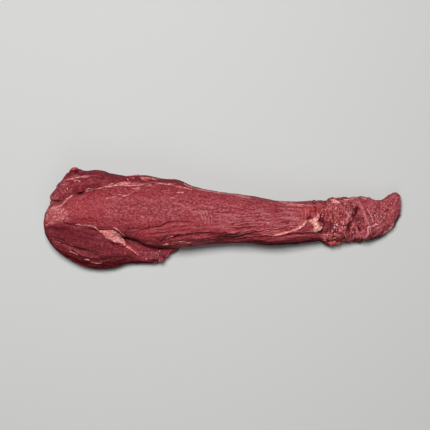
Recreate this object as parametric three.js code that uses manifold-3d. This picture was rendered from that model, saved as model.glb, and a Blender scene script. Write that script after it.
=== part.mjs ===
// A whole raw beef tenderloin, trimmed, lying on its flat side. Millimetres, +Z up.
// X runs from the thick butt end to the thin tail tip, and +Y is the side of the thin strip of muscle.
// It is one solid: long muscles that have grown together, with the seams, folds and fat between them.

import * as THREE from 'three';
import { LoftGeometry } from 'three/addons/geometries/LoftGeometry.js';
import { ImprovedNoise } from 'three/addons/math/ImprovedNoise.js';
import { mergeVertices } from 'three/addons/utils/BufferGeometryUtils.js';
import Module from 'manifold-3d';

// Driving dimensions
const LENGTH = 520;
const HEAD_WIDTH = 150;
const HEAD_HEIGHT = 63;

// The stations below are written at the sizes of a 520 x 150 x 63 mm tenderloin, and scale with the sizes above.
const DRAWN_LENGTH = 520;
const DRAWN_WIDTH = 150;
const DRAWN_HEIGHT = 63;
const ALONG = LENGTH / DRAWN_LENGTH;
const ACROSS = HEAD_WIDTH / DRAWN_WIDTH;
const UP = HEAD_HEIGHT / DRAWN_HEIGHT;

const MEAT_RED = 0x8f3138;
const FIBRE_LENGTH = 46;
const FIBRE_WIDTH = 7;
const FIBRE_HEIGHT = 1.1;
const TAIL_START = 385 * ALONG;
const TAIL_LUMP = 11;
const TAIL_LUMP_HEIGHT = 2.6;
// How much closer together a ring's points lie on its top, which shows, than they would if evenly spread.
const TOP_CROWDING = 0.28;
const MERGE_DISTANCE = 1e-3;

const noise = new ImprovedNoise();

// Muscles. Each station is one cross-section: how far it lies from the butt end, its upper and lower edge
// seen from above, its highest and lowest point, and how much its top climbs for each millimetre towards +Y.
// Lowest points lie under the floor, so that the muscle rests on a broad flat face.
const station = (along, upper, lower, top, bottom, lean = 0) => ({
  along: along * ALONG,
  edges: [upper * ACROSS, lower * ACROSS, top * UP, bottom * UP, lean],
});

const MAIN_MUSCLE = [
  station(7, 16, -11, 43, -4),
  station(23, 24, -14, 51, -8),
  station(45, 37, -17, 57, -10),
  station(70, 44, -20, 60, -11),
  station(96, 50, -25, 62, -11),
  station(122, 52, -28, 62, -12),
  station(136, 53, -34, 61, -12),
  station(150, 53, -40, 61, -12),
  station(174, 54, -43, 60, -12),
  station(200, 52, -43, 59, -12),
  station(227, 43, -40, 57, -11),
  station(261, 38, -37, 55, -11),
  station(296, 32, -37, 52, -10),
  station(331, 27, -40, 48, -10),
  station(366, 24, -38, 43, -9),
  station(392, 25, -35, 38, -8),
  station(418, 30, -36, 33, -7),
  station(434, 31, -36, 31, -6),
  station(446, 31, -35, 28, -6),
  station(457, 29, -33, 22, -6),
  station(468, 24, -28, 16, -5),
];

const SIDE_STRIP = [
  station(11, 32, 16, 24, -5),
  station(17, 46, 16, 32, -7),
  station(26, 57, 18, 38, -8),
  station(35, 67, 20, 42, -8),
  station(44, 73, 23, 44, -9),
  station(56, 71, 27, 46, -9),
  station(78, 70, 31, 47, -9),
  station(96, 65, 34, 47, -9),
  station(122, 61, 36, 47, -9),
  station(148, 62, 37, 48, -9),
  station(174, 57, 37, 47, -9),
  station(192, 56, 38, 44, -9),
  station(211, 49, 38, 38, -8),
];

const WING = [
  station(0, 4, -18, 34, -4, 0.1),
  station(9, 17, -38, 40, -7, 0.3),
  station(17, 16, -47, 41, -7, 0.42),
  station(35, 11, -60, 41, -8, 0.52),
  station(52, 7, -69, 40, -8, 0.56),
  station(70, 2, -74, 38, -8, 0.56),
  station(87, -4, -75, 36, -8, 0.52),
  station(105, -15, -72, 31, -7, 0.4),
  station(121, -33, -67, 25, -6, 0.2),
  station(137, -41, -66, 22, -5, 0.08),
  station(157, -42, -66, 20, -5, 0.04),
  station(171, -42, -62, 18, -5, 0.02),
  station(183, -37, -52, 17, -5),
  station(196, -38, -46, 14, -5),
];

const TAIL_FLAP = [
  station(430, 20, -26, 12, -5),
  station(444, 30, -34, 19, -6),
  station(457, 32, -35, 25, -6),
  station(472, 30, -33, 27, -6),
  station(488, 27, -27, 23, -5),
  station(497, 31, -21, 20, -5),
  station(505, 35, -12, 18, -5),
  station(512, 37, -3, 16, -4),
  station(520, 31, 9, 11, -3),
];

// Deep meat that fills the hollows under the seams.
const CORE_UNDER_STRIP = [
  station(16, 38, 0, 24, -4),
  station(60, 60, 0, 31, -4),
  station(150, 52, 0, 31, -4),
  station(208, 42, 0, 26, -4),
];

const CORE_UNDER_WING = [
  station(12, 0, -38, 24, -4),
  station(60, 0, -60, 29, -4),
  station(98, 0, -60, 24, -4),
  station(120, 0, -56, 12, -4),
  station(186, 0, -46, 9, -4),
];

// Plan points of folds and strands: distance from the butt end, then across.
const plan = (...points) => points.map(([along, across]) => new THREE.Vector2(along * ALONG, across * ACROSS));

// Folds and ridges that run over the skin: how far they sink (or stand, below 0), and their width.
const fold = (depth, width, ...points) => ({ depth, width, path: plan(...points) });

const FOLDS = {
  stripFatLine: fold(1.6, 5.0, [29, 56], [49, 57], [65, 60], [92, 60]),
  wingUpperRim: fold(1.9, 5.5, [6, -31], [24, -36], [38, -41], [64, -50], [78, -54]),
  wingLowerRim: fold(2.2, 5.5, [20, -40], [33, -48], [50, -55], [68, -63], [85, -64], [106, -62], [126, -59]),
  membraneUpper: fold(2.4, 6.0, [120, -22], [138, -18], [170, -13], [186, -7], [205, -4], [222, -6], [233, -14]),
  membraneLower: fold(1.8, 5.5, [155, -24], [173, -21], [191, -17], [207, -14]),
  bellyStrip: fold(2.0, 5.5, [178, -32], [191, -29], [208, -26], [226, -24], [244, -24]),
  sideSeam: fold(2.4, 5.0, [182, -39], [205, -37], [226, -37], [247, -34], [289, -27], [314, -25]),
  underStrand: fold(2.0, 5.0, [345, -26], [360, -23], [372, -22], [385, -22], [402, -23]),
  tailRidgeOne: fold(-2.4, 5.5, [437, 12], [440, -9], [435, -25]),
  tailRidgeTwo: fold(-1.8, 5.0, [448, 21], [445, 7], [442, 0], [436, -8]),
  tailRidgeThree: fold(-2.2, 5.0, [460, 12], [464, 3], [470, -10], [473, -20], [467, -29]),
  tailTipGroove: fold(1.6, 4.5, [470, 16], [478, 6], [484, -6], [482, -18]),
};

// Raised strips of silverskin, each a thin tube let into the skin.
const STRANDS = [
  { radius: 2.1, path: plan([343, -24], [350, -21], [357, -18], [363, -15], [369, -12], [374, -7], [376, -2]) },
  { radius: 1.6, path: plan([13, 10], [18, 16], [25, 21], [33, 26], [40, 31], [47, 34]) },
];
// How deep a strand's middle line and its ends lie under the skin, as shares of its radius.
const STRAND_SINK = 0.3;
const STRAND_END_SINK = 1.3;

// Lumps of fat and loose scraps that lie on the skin: centre in plan, radii along and across, how far they
// stand, and how they are turned in plan.
const lump = (along, across, length, width, height, turn = 0) => ({
  centre: new THREE.Vector2(along * ALONG, across * ACROSS),
  radii: new THREE.Vector3(length, width, height),
  turn: THREE.MathUtils.degToRad(turn),
});

const LUMPS = {
  fatPatchUpper: lump(91, -21, 12, 7, 3.2, -30),
  fatPatchMiddle: lump(103, -28, 12, 8, 3.6, -32),
  fatPatchLower: lump(115, -36, 9, 6, 3.4, -35),
  flapRidge: lump(130, -46, 16, 4.5, 3.2, -38),
  fatKnobFoot: lump(398, -13, 7, 6.5, 4.6, 10),
  fatKnobStalk: lump(391, -3, 4.5, 9.5, 3.8, -32),
  fatKnobSide: lump(404, -9, 4, 4, 3.4, 40),
  tailFatSpot: lump(423, 24, 7.5, 4.5, 3.0, -20),
  stripFatFront: lump(128, 59, 13, 6, 3.2, 4),
  stripFatBack: lump(147, 57, 9, 6, 3.4, -12),
  buttCorner: lump(44, 70, 8, 6, 4.4, 20),
  flapEndUpper: lump(160, -54, 9, 8, 3.6, 25),
  flapEndLower: lump(168, -59, 5, 5, 3.4, 25),
};
const LUMP_SINK = 0.25;
const LUMP_ROUGHNESS = 0.35;

// The scrap that hangs out at the tail's side, at its own height over the floor.
const SIDE_SCRAP = { along: 414, across: -35, height: 12, radii: new THREE.Vector3(15, 6, 6) };

// Ragged pockets that open in the skin: how long, wide and deep each is from its middle, and its turn.
const POCKETS = [
  { along: 454, across: 11, length: 8, width: 3.4, depth: 7, turn: 80 },
  { along: 458, across: -2, length: 8, width: 4.4, depth: 4, turn: -35 },
  { along: 458, across: -15, length: 7, width: 2.8, depth: 5, turn: -72 },
  { along: 402, across: 1, length: 7, width: 3.6, depth: 3.6, turn: 62 },
  { along: 12, across: 26, length: 14, width: 3.2, depth: 24, turn: -10 },
  { along: 55, across: 35, length: 8, width: 2.6, depth: 6, turn: 8 },
];

// The muscles that show. sides is the number of points round each ring, and step how far apart the rings are.
// A squareness of 2 is an ellipse, and more is boxier.
const OUTER_MUSCLES = {
  main: { stations: MAIN_MUSCLE, squareness: 2.3, sides: 42, roundEnd: 9, step: 7 },
  strip: { stations: SIDE_STRIP, squareness: 2.4, sides: 20, roundEnd: 3, step: 6.2 },
  wing: { stations: WING, squareness: 2.5, sides: 28, roundEnd: 3, step: 6.2 },
  tail: { stations: TAIL_FLAP, squareness: 2.3, sides: 28, roundEnd: 3, step: 4.6 },
};
const DEEP_MUSCLES = {
  underStrip: { stations: CORE_UNDER_STRIP, squareness: 2.3, sides: 12, roundEnd: 6, step: 20 },
  underWing: { stations: CORE_UNDER_WING, squareness: 2.3, sides: 12, roundEnd: 6, step: 14 },
};

// Smoothly blended station values at any distance from the butt end.
function profileOf(stations) {
  const positions = stations.map((s) => s.along);
  const curve = new THREE.CubicInterpolant(positions, stations.flatMap((s) => s.edges), stations[0].edges.length);
  return (along) => {
    const [upper, lower, top, bottom, lean] = curve.evaluate(along);
    return {
      middle: (upper + lower) / 2,
      halfWidth: (upper - lower) / 2,
      centreHeight: (top + bottom) / 2,
      halfHeight: (top - bottom) / 2,
      lean,
    };
  };
}

// Distances from the butt end of a muscle's rings, closer together on its two rounded ends, with the share
// of its full section that each ring has.
function ringsOf(stations, roundEnd, step) {
  const first = stations[0].along;
  const last = stations.at(-1).along;
  const quarterTurnShares = [0.1, 0.3, 0.55, 0.8];
  const ends = quarterTurnShares.map((share) => ({
    reach: roundEnd * (1 - Math.cos(share * Math.PI / 2)),
    share: Math.sin(share * Math.PI / 2),
  }));
  const count = Math.round((last - first - 2 * roundEnd) / step);
  const middle = Array.from({ length: count + 1 }, (_, i) => ({
    along: first + roundEnd + (last - first - 2 * roundEnd) * i / count,
    share: 1,
  }));
  return [
    ...ends.map(({ reach, share }) => ({ along: first + reach, share })),
    ...middle,
    ...ends.map(({ reach, share }) => ({ along: last - reach, share })).reverse(),
  ];
}

const powered = (value, power) => Math.sign(value) * Math.abs(value) ** power;

// One muscle as a loft of flattened oval rings, its skin raised or sunk by the given relief.
function muscle({ stations, sides, squareness, roundEnd, step }, raised) {
  const profile = profileOf(stations);
  const sections = ringsOf(stations, roundEnd, step).map(({ along, share }) => {
    const { middle, halfWidth, centreHeight, halfHeight, lean } = profile(along);
    return Array.from({ length: sides }, (_, side) => {
      const turn = 2 * Math.PI * side / sides;
      const angle = turn + TOP_CROWDING * Math.cos(turn);
      const across = halfWidth * share * powered(Math.cos(angle), 2 / squareness);
      const up = halfHeight * share * powered(Math.sin(angle), 2 / squareness);
      const grown = 1 + raised(along, middle + across, centreHeight + up, angle) / Math.hypot(across, up);
      const leant = lean * across * Math.max(0, Math.sin(angle));
      return new THREE.Vector3(along, middle + across * grown, centreHeight + up * grown + leant);
    });
  });
  return new LoftGeometry(sections, { closed: true, capStart: true, capEnd: true });
}

// Distance in plan from a place to a path of straight pieces.
function distanceTo(path, place) {
  const nearest = new THREE.Vector3();
  const here = new THREE.Vector3(place.x, place.y, 0);
  const distances = path.slice(1).map((end, i) => {
    const piece = new THREE.Line3(new THREE.Vector3(path[i].x, path[i].y, 0), new THREE.Vector3(end.x, end.y, 0));
    return piece.closestPointToPoint(here, true, nearest).distanceTo(here);
  });
  return Math.min(...distances);
}

// How far the folds sink the top of the skin at a place in plan.
const foldDepth = (place) => Object.values(FOLDS).reduce(
  (sum, { depth, width, path }) => sum + depth * Math.exp(-((distanceTo(path, place) / width) ** 2) * 2),
  0,
);

// Relief of the skin: long bundles of fibre, which turn into short lumps in the torn tail, and the folds.
function relief(along, across, height, angle) {
  const fibres = noise.noise(along / FIBRE_LENGTH, across / FIBRE_WIDTH, height / FIBRE_WIDTH);
  const lumps = noise.noise(along / TAIL_LUMP, across / TAIL_LUMP, height / TAIL_LUMP);
  const torn = THREE.MathUtils.smoothstep(along, TAIL_START, TAIL_START + 2 * TAIL_LUMP);
  const onTop = THREE.MathUtils.smoothstep(Math.sin(angle), 0, 0.35);
  const waves = FIBRE_HEIGHT * fibres * (1 - torn) + TAIL_LUMP_HEIGHT * lumps * torn;
  return waves - onTop * foldDepth(new THREE.Vector2(along, across));
}

// Height of a muscle's top over the floor at a place in plan, or 0 beside it.
function skinHeight(stations, squareness, along, across) {
  if (along < stations[0].along || along > stations.at(-1).along) return 0;
  const { middle, halfWidth, centreHeight, halfHeight, lean } = profileOf(stations)(along);
  const share = Math.abs(across - middle) / halfWidth;
  if (share >= 1) return 0;
  const rounded = 1 - share ** squareness;
  return centreHeight + halfHeight * rounded ** (1 / squareness) + lean * (across - middle) * Math.sqrt(rounded);
}

const surfaceAt = (along, across) => Math.max(
  ...Object.values(OUTER_MUSCLES).map(({ stations, squareness }) => skinHeight(stations, squareness, along, across)),
);

// Direction straight out of the skin at a place in plan.
function skinNormal({ x, y }, reach = 3) {
  const rise = (dx, dy) => (surfaceAt(x + dx, y + dy) - surfaceAt(x - dx, y - dy)) / (2 * reach);
  return new THREE.Vector3(-rise(reach, 0), -rise(0, reach), 1).normalize();
}

// A thin tube of a few sides along a plan path, let into the skin that it follows. Both ends run under it.
function strand({ path, radius }, sides = 8) {
  const route = path.map(({ x, y }, i) => {
    const sink = i === 0 || i === path.length - 1 ? STRAND_END_SINK : STRAND_SINK;
    return new THREE.Vector3(x, y, surfaceAt(x, y) - sink * radius);
  });
  const section = new THREE.Shape(new THREE.EllipseCurve(0, 0, radius, radius).getPoints(sides).slice(0, sides));
  return new THREE.ExtrudeGeometry(section, {
    extrudePath: new THREE.CatmullRomCurve3(route),
    steps: 2 * path.length,
    bevelEnabled: false,
  });
}

function ellipsoid(radii, segments = 12) {
  return new THREE.SphereGeometry(1, segments, Math.round(segments * 0.6))
    .rotateX(Math.PI / 2)
    .scale(radii.x, radii.y, radii.z);
}

// An ellipsoid with an uneven skin, as torn fat has.
function unevenEllipsoid(radii) {
  const geometry = ellipsoid(radii);
  const points = geometry.getAttribute('position');
  const point = new THREE.Vector3();
  const size = Math.min(radii.x, radii.y);
  for (let i = 0; i < points.count; i += 1) {
    point.fromBufferAttribute(points, i);
    const at = point.clone().divideScalar(size);
    point.multiplyScalar(1 + LUMP_ROUGHNESS * noise.noise(at.x + radii.x, at.y + radii.y, at.z + radii.z));
    points.setXYZ(i, point.x, point.y, point.z);
  }
  return geometry;
}

const wasm = await Module();
wasm.setup();

// A closed solid from a geometry, without the triangles that its poles squeeze to nothing.
function solid(geometry) {
  const bare = new THREE.BufferGeometry().setAttribute('position', geometry.getAttribute('position'));
  if (geometry.index) bare.setIndex(geometry.index);
  const merged = mergeVertices(bare, MERGE_DISTANCE);
  const corners = merged.index.array;
  const kept = [];
  for (let i = 0; i < corners.length; i += 3) {
    const [a, b, c] = corners.subarray(i, i + 3);
    if (a !== b && b !== c && c !== a) kept.push(a, b, c);
  }
  const filled = () => new wasm.Manifold(new wasm.Mesh({
    numProp: 3,
    vertProperties: merged.getAttribute('position').array,
    triVerts: new Uint32Array(kept),
  }));
  const made = filled();
  if (made.volume() > 0) return made;
  for (let i = 0; i < kept.length; i += 3) [kept[i], kept[i + 1]] = [kept[i + 1], kept[i]];
  return filled();
}

function muscles() {
  return [
    ...Object.values(OUTER_MUSCLES).map((outer) => muscle(outer, relief)),
    ...Object.values(DEEP_MUSCLES).map((deep) => muscle(deep, () => 0)),
  ];
}

function fatLumps() {
  return Object.values(LUMPS).map(({ centre, radii, turn }) => {
    const outward = skinNormal(centre);
    const place = new THREE.Vector3(centre.x, centre.y, surfaceAt(centre.x, centre.y));
    const lying = new THREE.Quaternion().setFromUnitVectors(new THREE.Vector3(0, 0, 1), outward);
    return unevenEllipsoid(radii)
      .rotateZ(turn)
      .applyQuaternion(lying)
      .translate(...place.addScaledVector(outward, -LUMP_SINK * radii.z));
  });
}

function sideScrap() {
  const { along, across, height, radii } = SIDE_SCRAP;
  return unevenEllipsoid(radii).translate(along * ALONG, across * ACROSS, height);
}

function pockets() {
  return POCKETS.map(({ along, across, length, width, depth, turn }) => {
    const top = surfaceAt(along * ALONG, across * ACROSS);
    return unevenEllipsoid(new THREE.Vector3(length, width, depth))
      .rotateZ(THREE.MathUtils.degToRad(turn))
      .translate(along * ALONG, across * ACROSS, top);
  });
}

function belowFloor() {
  const depth = HEAD_HEIGHT;
  return new THREE.BoxGeometry(2 * LENGTH, 2 * HEAD_WIDTH, depth).translate(LENGTH / 2, 0, -depth / 2);
}

function tenderloin() {
  const added = [
    ...muscles(),
    ...fatLumps(),
    sideScrap(),
    ...STRANDS.map((line) => strand(line)),
  ];
  const removed = [
    ...pockets(),
    belowFloor(),
  ];
  const whole = added.map(solid).reduce((sum, piece) => sum.add(piece));
  const cut = removed.map(solid).reduce((rest, piece) => rest.subtract(piece), whole);
  const { vertProperties, triVerts, numProp } = cut.getMesh();
  const geometry = new THREE.BufferGeometry()
    .setAttribute('position', new THREE.InterleavedBufferAttribute(
      new THREE.InterleavedBuffer(vertProperties, numProp), 3, 0,
    ))
    .setIndex(new THREE.BufferAttribute(triVerts, 1));
  return geometry;
}

// The origin is under the middle of the piece, on the floor that it lies on.
function centred(geometry) {
  geometry.computeBoundingBox();
  const { min, max } = geometry.boundingBox;
  return geometry.translate(-(min.x + max.x) / 2, -(min.y + max.y) / 2, -min.z);
}

const meat = new THREE.Mesh(
  centred(tenderloin()),
  new THREE.MeshStandardMaterial({ color: MEAT_RED, roughness: 0.45, metalness: 0 }),
);
meat.name = 'tenderloin';

const group = new THREE.Group();
group.add(meat);

export default group;
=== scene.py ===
"""Looks of a whole raw beef tenderloin: lean meat with its seams, folds, silverskin, fat and torn tail.

Places on the meat are given in plan, in millimetres: how far they lie from the butt end, and how far across,
with the side strip at plus and the flap, or wing, at minus. Meshes are in metres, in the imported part's frame.
"""

from __future__ import annotations

import itertools
import logging
import math
from dataclasses import dataclass, field, replace
from enum import Enum
from typing import Any, Iterable, Sequence

import bmesh
import bpy
import numpy as np
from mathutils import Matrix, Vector
from mathutils.bvhtree import BVHTree

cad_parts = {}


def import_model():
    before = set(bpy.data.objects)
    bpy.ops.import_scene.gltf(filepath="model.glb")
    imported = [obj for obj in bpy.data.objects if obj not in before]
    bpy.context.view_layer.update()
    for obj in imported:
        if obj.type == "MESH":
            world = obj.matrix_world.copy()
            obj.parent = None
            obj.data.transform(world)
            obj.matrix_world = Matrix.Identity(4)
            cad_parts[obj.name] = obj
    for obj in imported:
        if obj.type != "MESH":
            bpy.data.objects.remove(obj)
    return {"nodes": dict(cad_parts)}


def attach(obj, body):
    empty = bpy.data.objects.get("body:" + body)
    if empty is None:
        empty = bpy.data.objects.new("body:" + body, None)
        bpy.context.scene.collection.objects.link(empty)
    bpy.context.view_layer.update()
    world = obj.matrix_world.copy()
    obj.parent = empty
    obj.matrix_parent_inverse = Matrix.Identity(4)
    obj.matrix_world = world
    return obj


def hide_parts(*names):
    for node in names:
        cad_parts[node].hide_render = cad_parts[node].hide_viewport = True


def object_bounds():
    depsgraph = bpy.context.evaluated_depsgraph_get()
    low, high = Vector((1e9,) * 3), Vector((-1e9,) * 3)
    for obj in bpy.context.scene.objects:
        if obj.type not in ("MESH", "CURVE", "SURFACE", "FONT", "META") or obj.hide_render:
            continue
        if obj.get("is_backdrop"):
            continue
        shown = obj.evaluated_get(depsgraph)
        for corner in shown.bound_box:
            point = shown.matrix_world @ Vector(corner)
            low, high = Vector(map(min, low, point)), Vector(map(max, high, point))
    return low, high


log = logging.getLogger("tenderloin")

NODE = "tenderloin"
BODY = "root"
MM = 0.001
BUTT_X = -0.260
# How far points spring back after each round of smoothing, and how many places are tried for each laid bit.
SPRING = 0.61
TRIES = 12
SKIN_SEED = 23

Point = tuple[float, float]
Triple = tuple[float, float, float]
Colour = Triple
Spot = tuple[float, float, float, float]
Box = Sequence[Sequence[float]]
Array = np.ndarray
Mesh = bpy.types.Mesh
Piece = bpy.types.Object


class Slot(Enum):
    """Names of material slots; each set of pieces in main lists one, which nothing reads."""

    MEAT = "meat"
    FAT = "fat"
    SILVERSKIN = "silverskin"


class Mask(Enum):
    """What is painted on the meat's points for its material to read."""

    FAT = "fat_cover"
    FILM = "film_cover"
    TORN = "torn_grain"
    TEAR = "torn_strands"
    DARK_TONE_AND_SHADE = "dark_meat"
    BRIGHT = "bright_meat"
    FLANK_SHADE = "flank"
    STRINGY = "stringy"
    HOLLOW_SHADE = "hollow"
    RIDGE_HIGHLIGHT = "ridge"
    GRAIN = "grain_place"
    COVER = "thickness"


def light(red: float, green: float, blue: float) -> Colour:
    """Linear colour of a screen colour given from 0 to 255."""
    shares = (c / 255 for c in (red, green, blue))
    return tuple(s / 12.92 if s <= 0.04045 else ((s + 0.055) / 1.055) ** 2.4 for s in shares)


def ramp(values: Array, low: float, high: float) -> Array:
    """Smooth step of values from 0 at low to 1 at high."""
    share = np.clip((values - low) / (high - low), 0, 1)
    return share * share * (3 - 2 * share)


def smoothed(points: Array, edges: Array, rounds: int, spring: float = 0.0) -> Array:
    """Points drawn towards the middle of their neighbours.

    Args:
        points: places of a mesh's points, shape (count, 3).
        edges: pairs of neighbours, shape (count, 2).
        rounds: how many times to draw them.
        spring: how far they spring back after each round, so that the shape doesn't shrink.

    Returns:
        The new places.
    """
    count = len(points)
    ends = np.concatenate([edges[:, 0], edges[:, 1]])
    others = np.concatenate([edges[:, 1], edges[:, 0]])
    degree = np.maximum(np.bincount(ends, minlength=count), 1)
    for pull in [0.6, -spring] * rounds if spring else [0.6] * rounds:
        means = [np.bincount(ends, points[others, axis], count) / degree for axis in range(3)]
        points = points + pull * (np.stack(means, axis=1) - points)
    return points


def vectors(mesh: Mesh, name: str) -> Array:
    """What a mesh keeps for its points under that name, such as places or directions.

    Args:
        mesh: the mesh.
        name: name of the property.

    Returns:
        Array of shape (count, 3).
    """
    found = np.zeros(len(mesh.vertices) * 3)
    mesh.vertices.foreach_get(name, found)
    return found.reshape(-1, 3)


def neighbours(mesh: Mesh) -> Array:
    """Which points of a mesh share an edge.

    Args:
        mesh: the mesh.

    Returns:
        Pairs of points by number, shape (count, 2).
    """
    found = np.zeros(len(mesh.edges) * 2, np.int64)
    mesh.edges.foreach_get("vertices", found)
    return found.reshape(-1, 2)


def placed(name: str, data: bpy.types.ID) -> Piece:
    """Puts a mesh, a light or a camera into the scene.

    Args:
        name: the object's name.
        data: what it shows.

    Returns:
        The new object.
    """
    made = bpy.data.objects.new(name, data)
    bpy.context.scene.collection.objects.link(made)
    return made


def melted(piece: Piece, voxel: float) -> Mesh:
    """Covers a piece with small even faces, and takes the piece itself away.

    Args:
        piece: what to cover.
        voxel: size of the faces, in millimetres.

    Returns:
        The new mesh.
    """
    remesh = piece.modifiers.new("even", "REMESH")
    remesh.mode = "VOXEL"
    remesh.voxel_size = voxel * MM
    mesh = bpy.data.meshes.new_from_object(piece.evaluated_get(bpy.context.evaluated_depsgraph_get()))
    bpy.data.objects.remove(piece)
    return mesh


class Grain:
    """Smooth noise on points in space, the same in every run."""

    def __init__(self, seed: int) -> None:
        """Draws the slopes of the noise.

        Args:
            seed: number that picks the pattern.
        """
        draw = np.random.default_rng(seed)
        self._order = draw.permutation(256)
        slopes = draw.normal(size=(256, 3))
        self._slopes = slopes / np.linalg.norm(slopes, axis=1, keepdims=True)

    def __call__(self, places: Array) -> Array:
        """Noise from about -1 to 1 at places, one unit of place to a wave.

        Args:
            places: array of points, shape (count, 3).

        Returns:
            One value for each point.
        """
        cell = np.floor(places).astype(np.int64)
        part = places - cell
        ease = part**3 * (part * (part * 6 - 15) + 10)
        total = np.zeros(len(places))
        for corner in itertools.product((0, 1), repeat=3):
            key = cell + corner
            index = self._order[key[:, 0] & 255] + key[:, 1]
            index = self._order[(self._order[index & 255] + key[:, 2]) & 255]
            weight = np.prod(np.where(corner, ease, 1 - ease), axis=1)
            total += weight * np.einsum("ij,ij->i", self._slopes[index], part - corner)
        return total * 1.7

    def layers(self, places: Array, count: int) -> Array:
        """Noise with finer and finer layers, each half as strong as the one before.

        Args:
            places: array of points, shape (count, 3).
            count: number of layers.

        Returns:
            One value for each point.
        """
        return sum(self(places * 2**i + 7.3 * i) / 2**i for i in range(count))

    def creases(self, places: Array) -> Array:
        """Round ridges with sharp valleys between them, from about -0.6 to 1."""
        return 2.4 * np.abs(self(places)) - 0.6


@dataclass(frozen=True)
class Path:
    """A line on the meat, seen from above."""

    points: tuple[Point, ...]

    def reach(self, plan: Array) -> tuple[Array, Array, Array]:
        """How places lie beside the line.

        Args:
            plan: array of places, shape (count, 2), in millimetres.

        Returns:
            Distance to the line, the side (plus on the left of its direction), and the share of its length.
        """
        corners = np.array(self.points, float)
        lengths = np.linalg.norm(np.diff(corners, axis=0), axis=1)
        starts = np.concatenate([[0], np.cumsum(lengths)])
        best = np.full(len(plan), np.inf)
        side = np.ones(len(plan))
        share = np.zeros(len(plan))
        for i, length in enumerate(lengths):
            way = (corners[i + 1] - corners[i]) / length
            offset = plan - corners[i]
            along = np.clip(offset @ way, 0, length)
            away = np.linalg.norm(offset - along[:, None] * way, axis=1)
            nearer = away < best
            cross = way[0] * offset[:, 1] - way[1] * offset[:, 0]
            best = np.where(nearer, away, best)
            side = np.where(nearer, np.where(cross < 0, -1.0, 1.0), side)
            share = np.where(nearer, (starts[i] + along) / starts[-1], share)
        return best, side, share

    def smooth(self, step: float) -> Array:
        """Places along a smooth curve through the points.

        Args:
            step: distance between two places, in millimetres.

        Returns:
            Array of places, shape (count, 2).
        """
        corners = np.array(self.points, float)
        ends = np.vstack([2 * corners[0] - corners[1], corners, 2 * corners[-1] - corners[-2]])
        found = []
        for i in range(1, len(ends) - 2):
            before, start, end, after = ends[i - 1 : i + 3]
            count = max(1, round(float(np.linalg.norm(end - start)) / step))
            t = np.arange(count)[:, None] / count
            found.append(
                start
                + 0.5 * t * (end - before)
                + t**2 * (before - 2.5 * start + 2 * end - 0.5 * after)
                + 0.5 * t**3 * (3 * (start - end) + after - before)
            )
        return np.vstack([*found, corners[-1:]])


@dataclass(frozen=True)
class Fold:
    """A groove in the skin with a raised lip beside it."""

    path: Path
    depth: float
    width: float
    lip: float = 0.0

    def lift(self, plan: Array, sway: Array) -> Array:
        """How far the fold raises the skin, below 0 where it sinks it.

        Args:
            plan: places in plan, shape (count, 2), in millimetres.
            sway: how far the fold wavers at each place, in millimetres.

        Returns:
            One height for each place, in millimetres.
        """
        away, side, share = self.path.reach(plan)
        offset = away * side + sway
        fade = ramp(share, 0, 0.12) * (1 - ramp(share, 0.88, 1))
        fade *= 1 - ramp(away, 3 * self.width, 5 * self.width)
        groove = np.exp(-((offset / self.width) ** 2))
        raised = np.exp(-(((offset - 1.6 * self.width) / (1.3 * self.width)) ** 2))
        return fade * (self.lip * raised - self.depth * groove)


@dataclass(frozen=True)
class Pit:
    """A pocket in the skin; its dark is how much painted shade is laid in it."""

    centre: Point
    length: float
    width: float
    depth: float
    turn: float = 0.0
    # How much painted shade is laid in the pocket.
    dark: float = 0.0

    def share(self, plan: Array) -> Array:
        """How deep places lie in the pocket.

        Args:
            plan: places in plan, shape (count, 2), in millimetres.

        Returns:
            One share for each place, from 0 outside to 1 at the pocket's middle.
        """
        angle = math.radians(self.turn)
        offset = plan - np.array(self.centre)
        along = (offset[:, 0] * math.cos(angle) + offset[:, 1] * math.sin(angle)) / self.length
        beside = (offset[:, 1] * math.cos(angle) - offset[:, 0] * math.sin(angle)) / self.width
        return np.exp(-(along**2) - beside**2)


@dataclass(frozen=True)
class Swell:
    """A place where the sides of the meat bulge out a little further than the solid does."""

    centre: Point
    size: Point
    height: float

    def lift(self, plan: Array, outward: Array) -> Array:
        """How far the swell pushes the skin out, in millimetres.

        Args:
            plan: places in plan, shape (count, 2), in millimetres.
            outward: directions out of the skin.

        Returns:
            One height for each place, greatest on upright sides.
        """
        offset = (plan - np.array(self.centre)) / np.array(self.size)
        upright = np.sqrt(np.clip(1 - outward[:, 2] ** 2, 0, 1))
        return self.height * upright * np.exp(-np.sum(offset**2, axis=1))


@dataclass(frozen=True)
class Patch:
    """A part of the skin inside a closed line, with a soft rim."""

    outline: Path
    rim: float

    def cover(self, plan: Array, sway: Array | float = 0.0) -> Array:
        """Share of the patch at each place, 1 well inside it and 0 well outside.

        Args:
            plan: places in plan, shape (count, 2), in millimetres.
            sway: how far the rim wavers at each place, in millimetres.

        Returns:
            One share for each place.
        """
        corners = np.array(self.outline.points)
        closed = Path((*self.outline.points, self.outline.points[0]))
        away = closed.reach(plan)[0]
        inside = np.zeros(len(plan), bool)
        for start, end in zip(corners, np.roll(corners, -1, axis=0)):
            crosses = (start[1] > plan[:, 1]) != (end[1] > plan[:, 1])
            rise = end[1] - start[1] or 1e-9
            meets = start[0] + (end[0] - start[0]) * (plan[:, 1] - start[1]) / rise
            inside ^= crosses & (plan[:, 0] < meets)
        return ramp(np.where(inside, away, -away) + sway, -self.rim, self.rim)

    def scattered(self, draw: np.random.Generator, count: int) -> Array:
        """Random places in the box round the patch, shape (count, 2)."""
        corners = np.array(self.outline.points)
        return draw.uniform(corners.min(axis=0), corners.max(axis=0), (count, 2))


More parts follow.
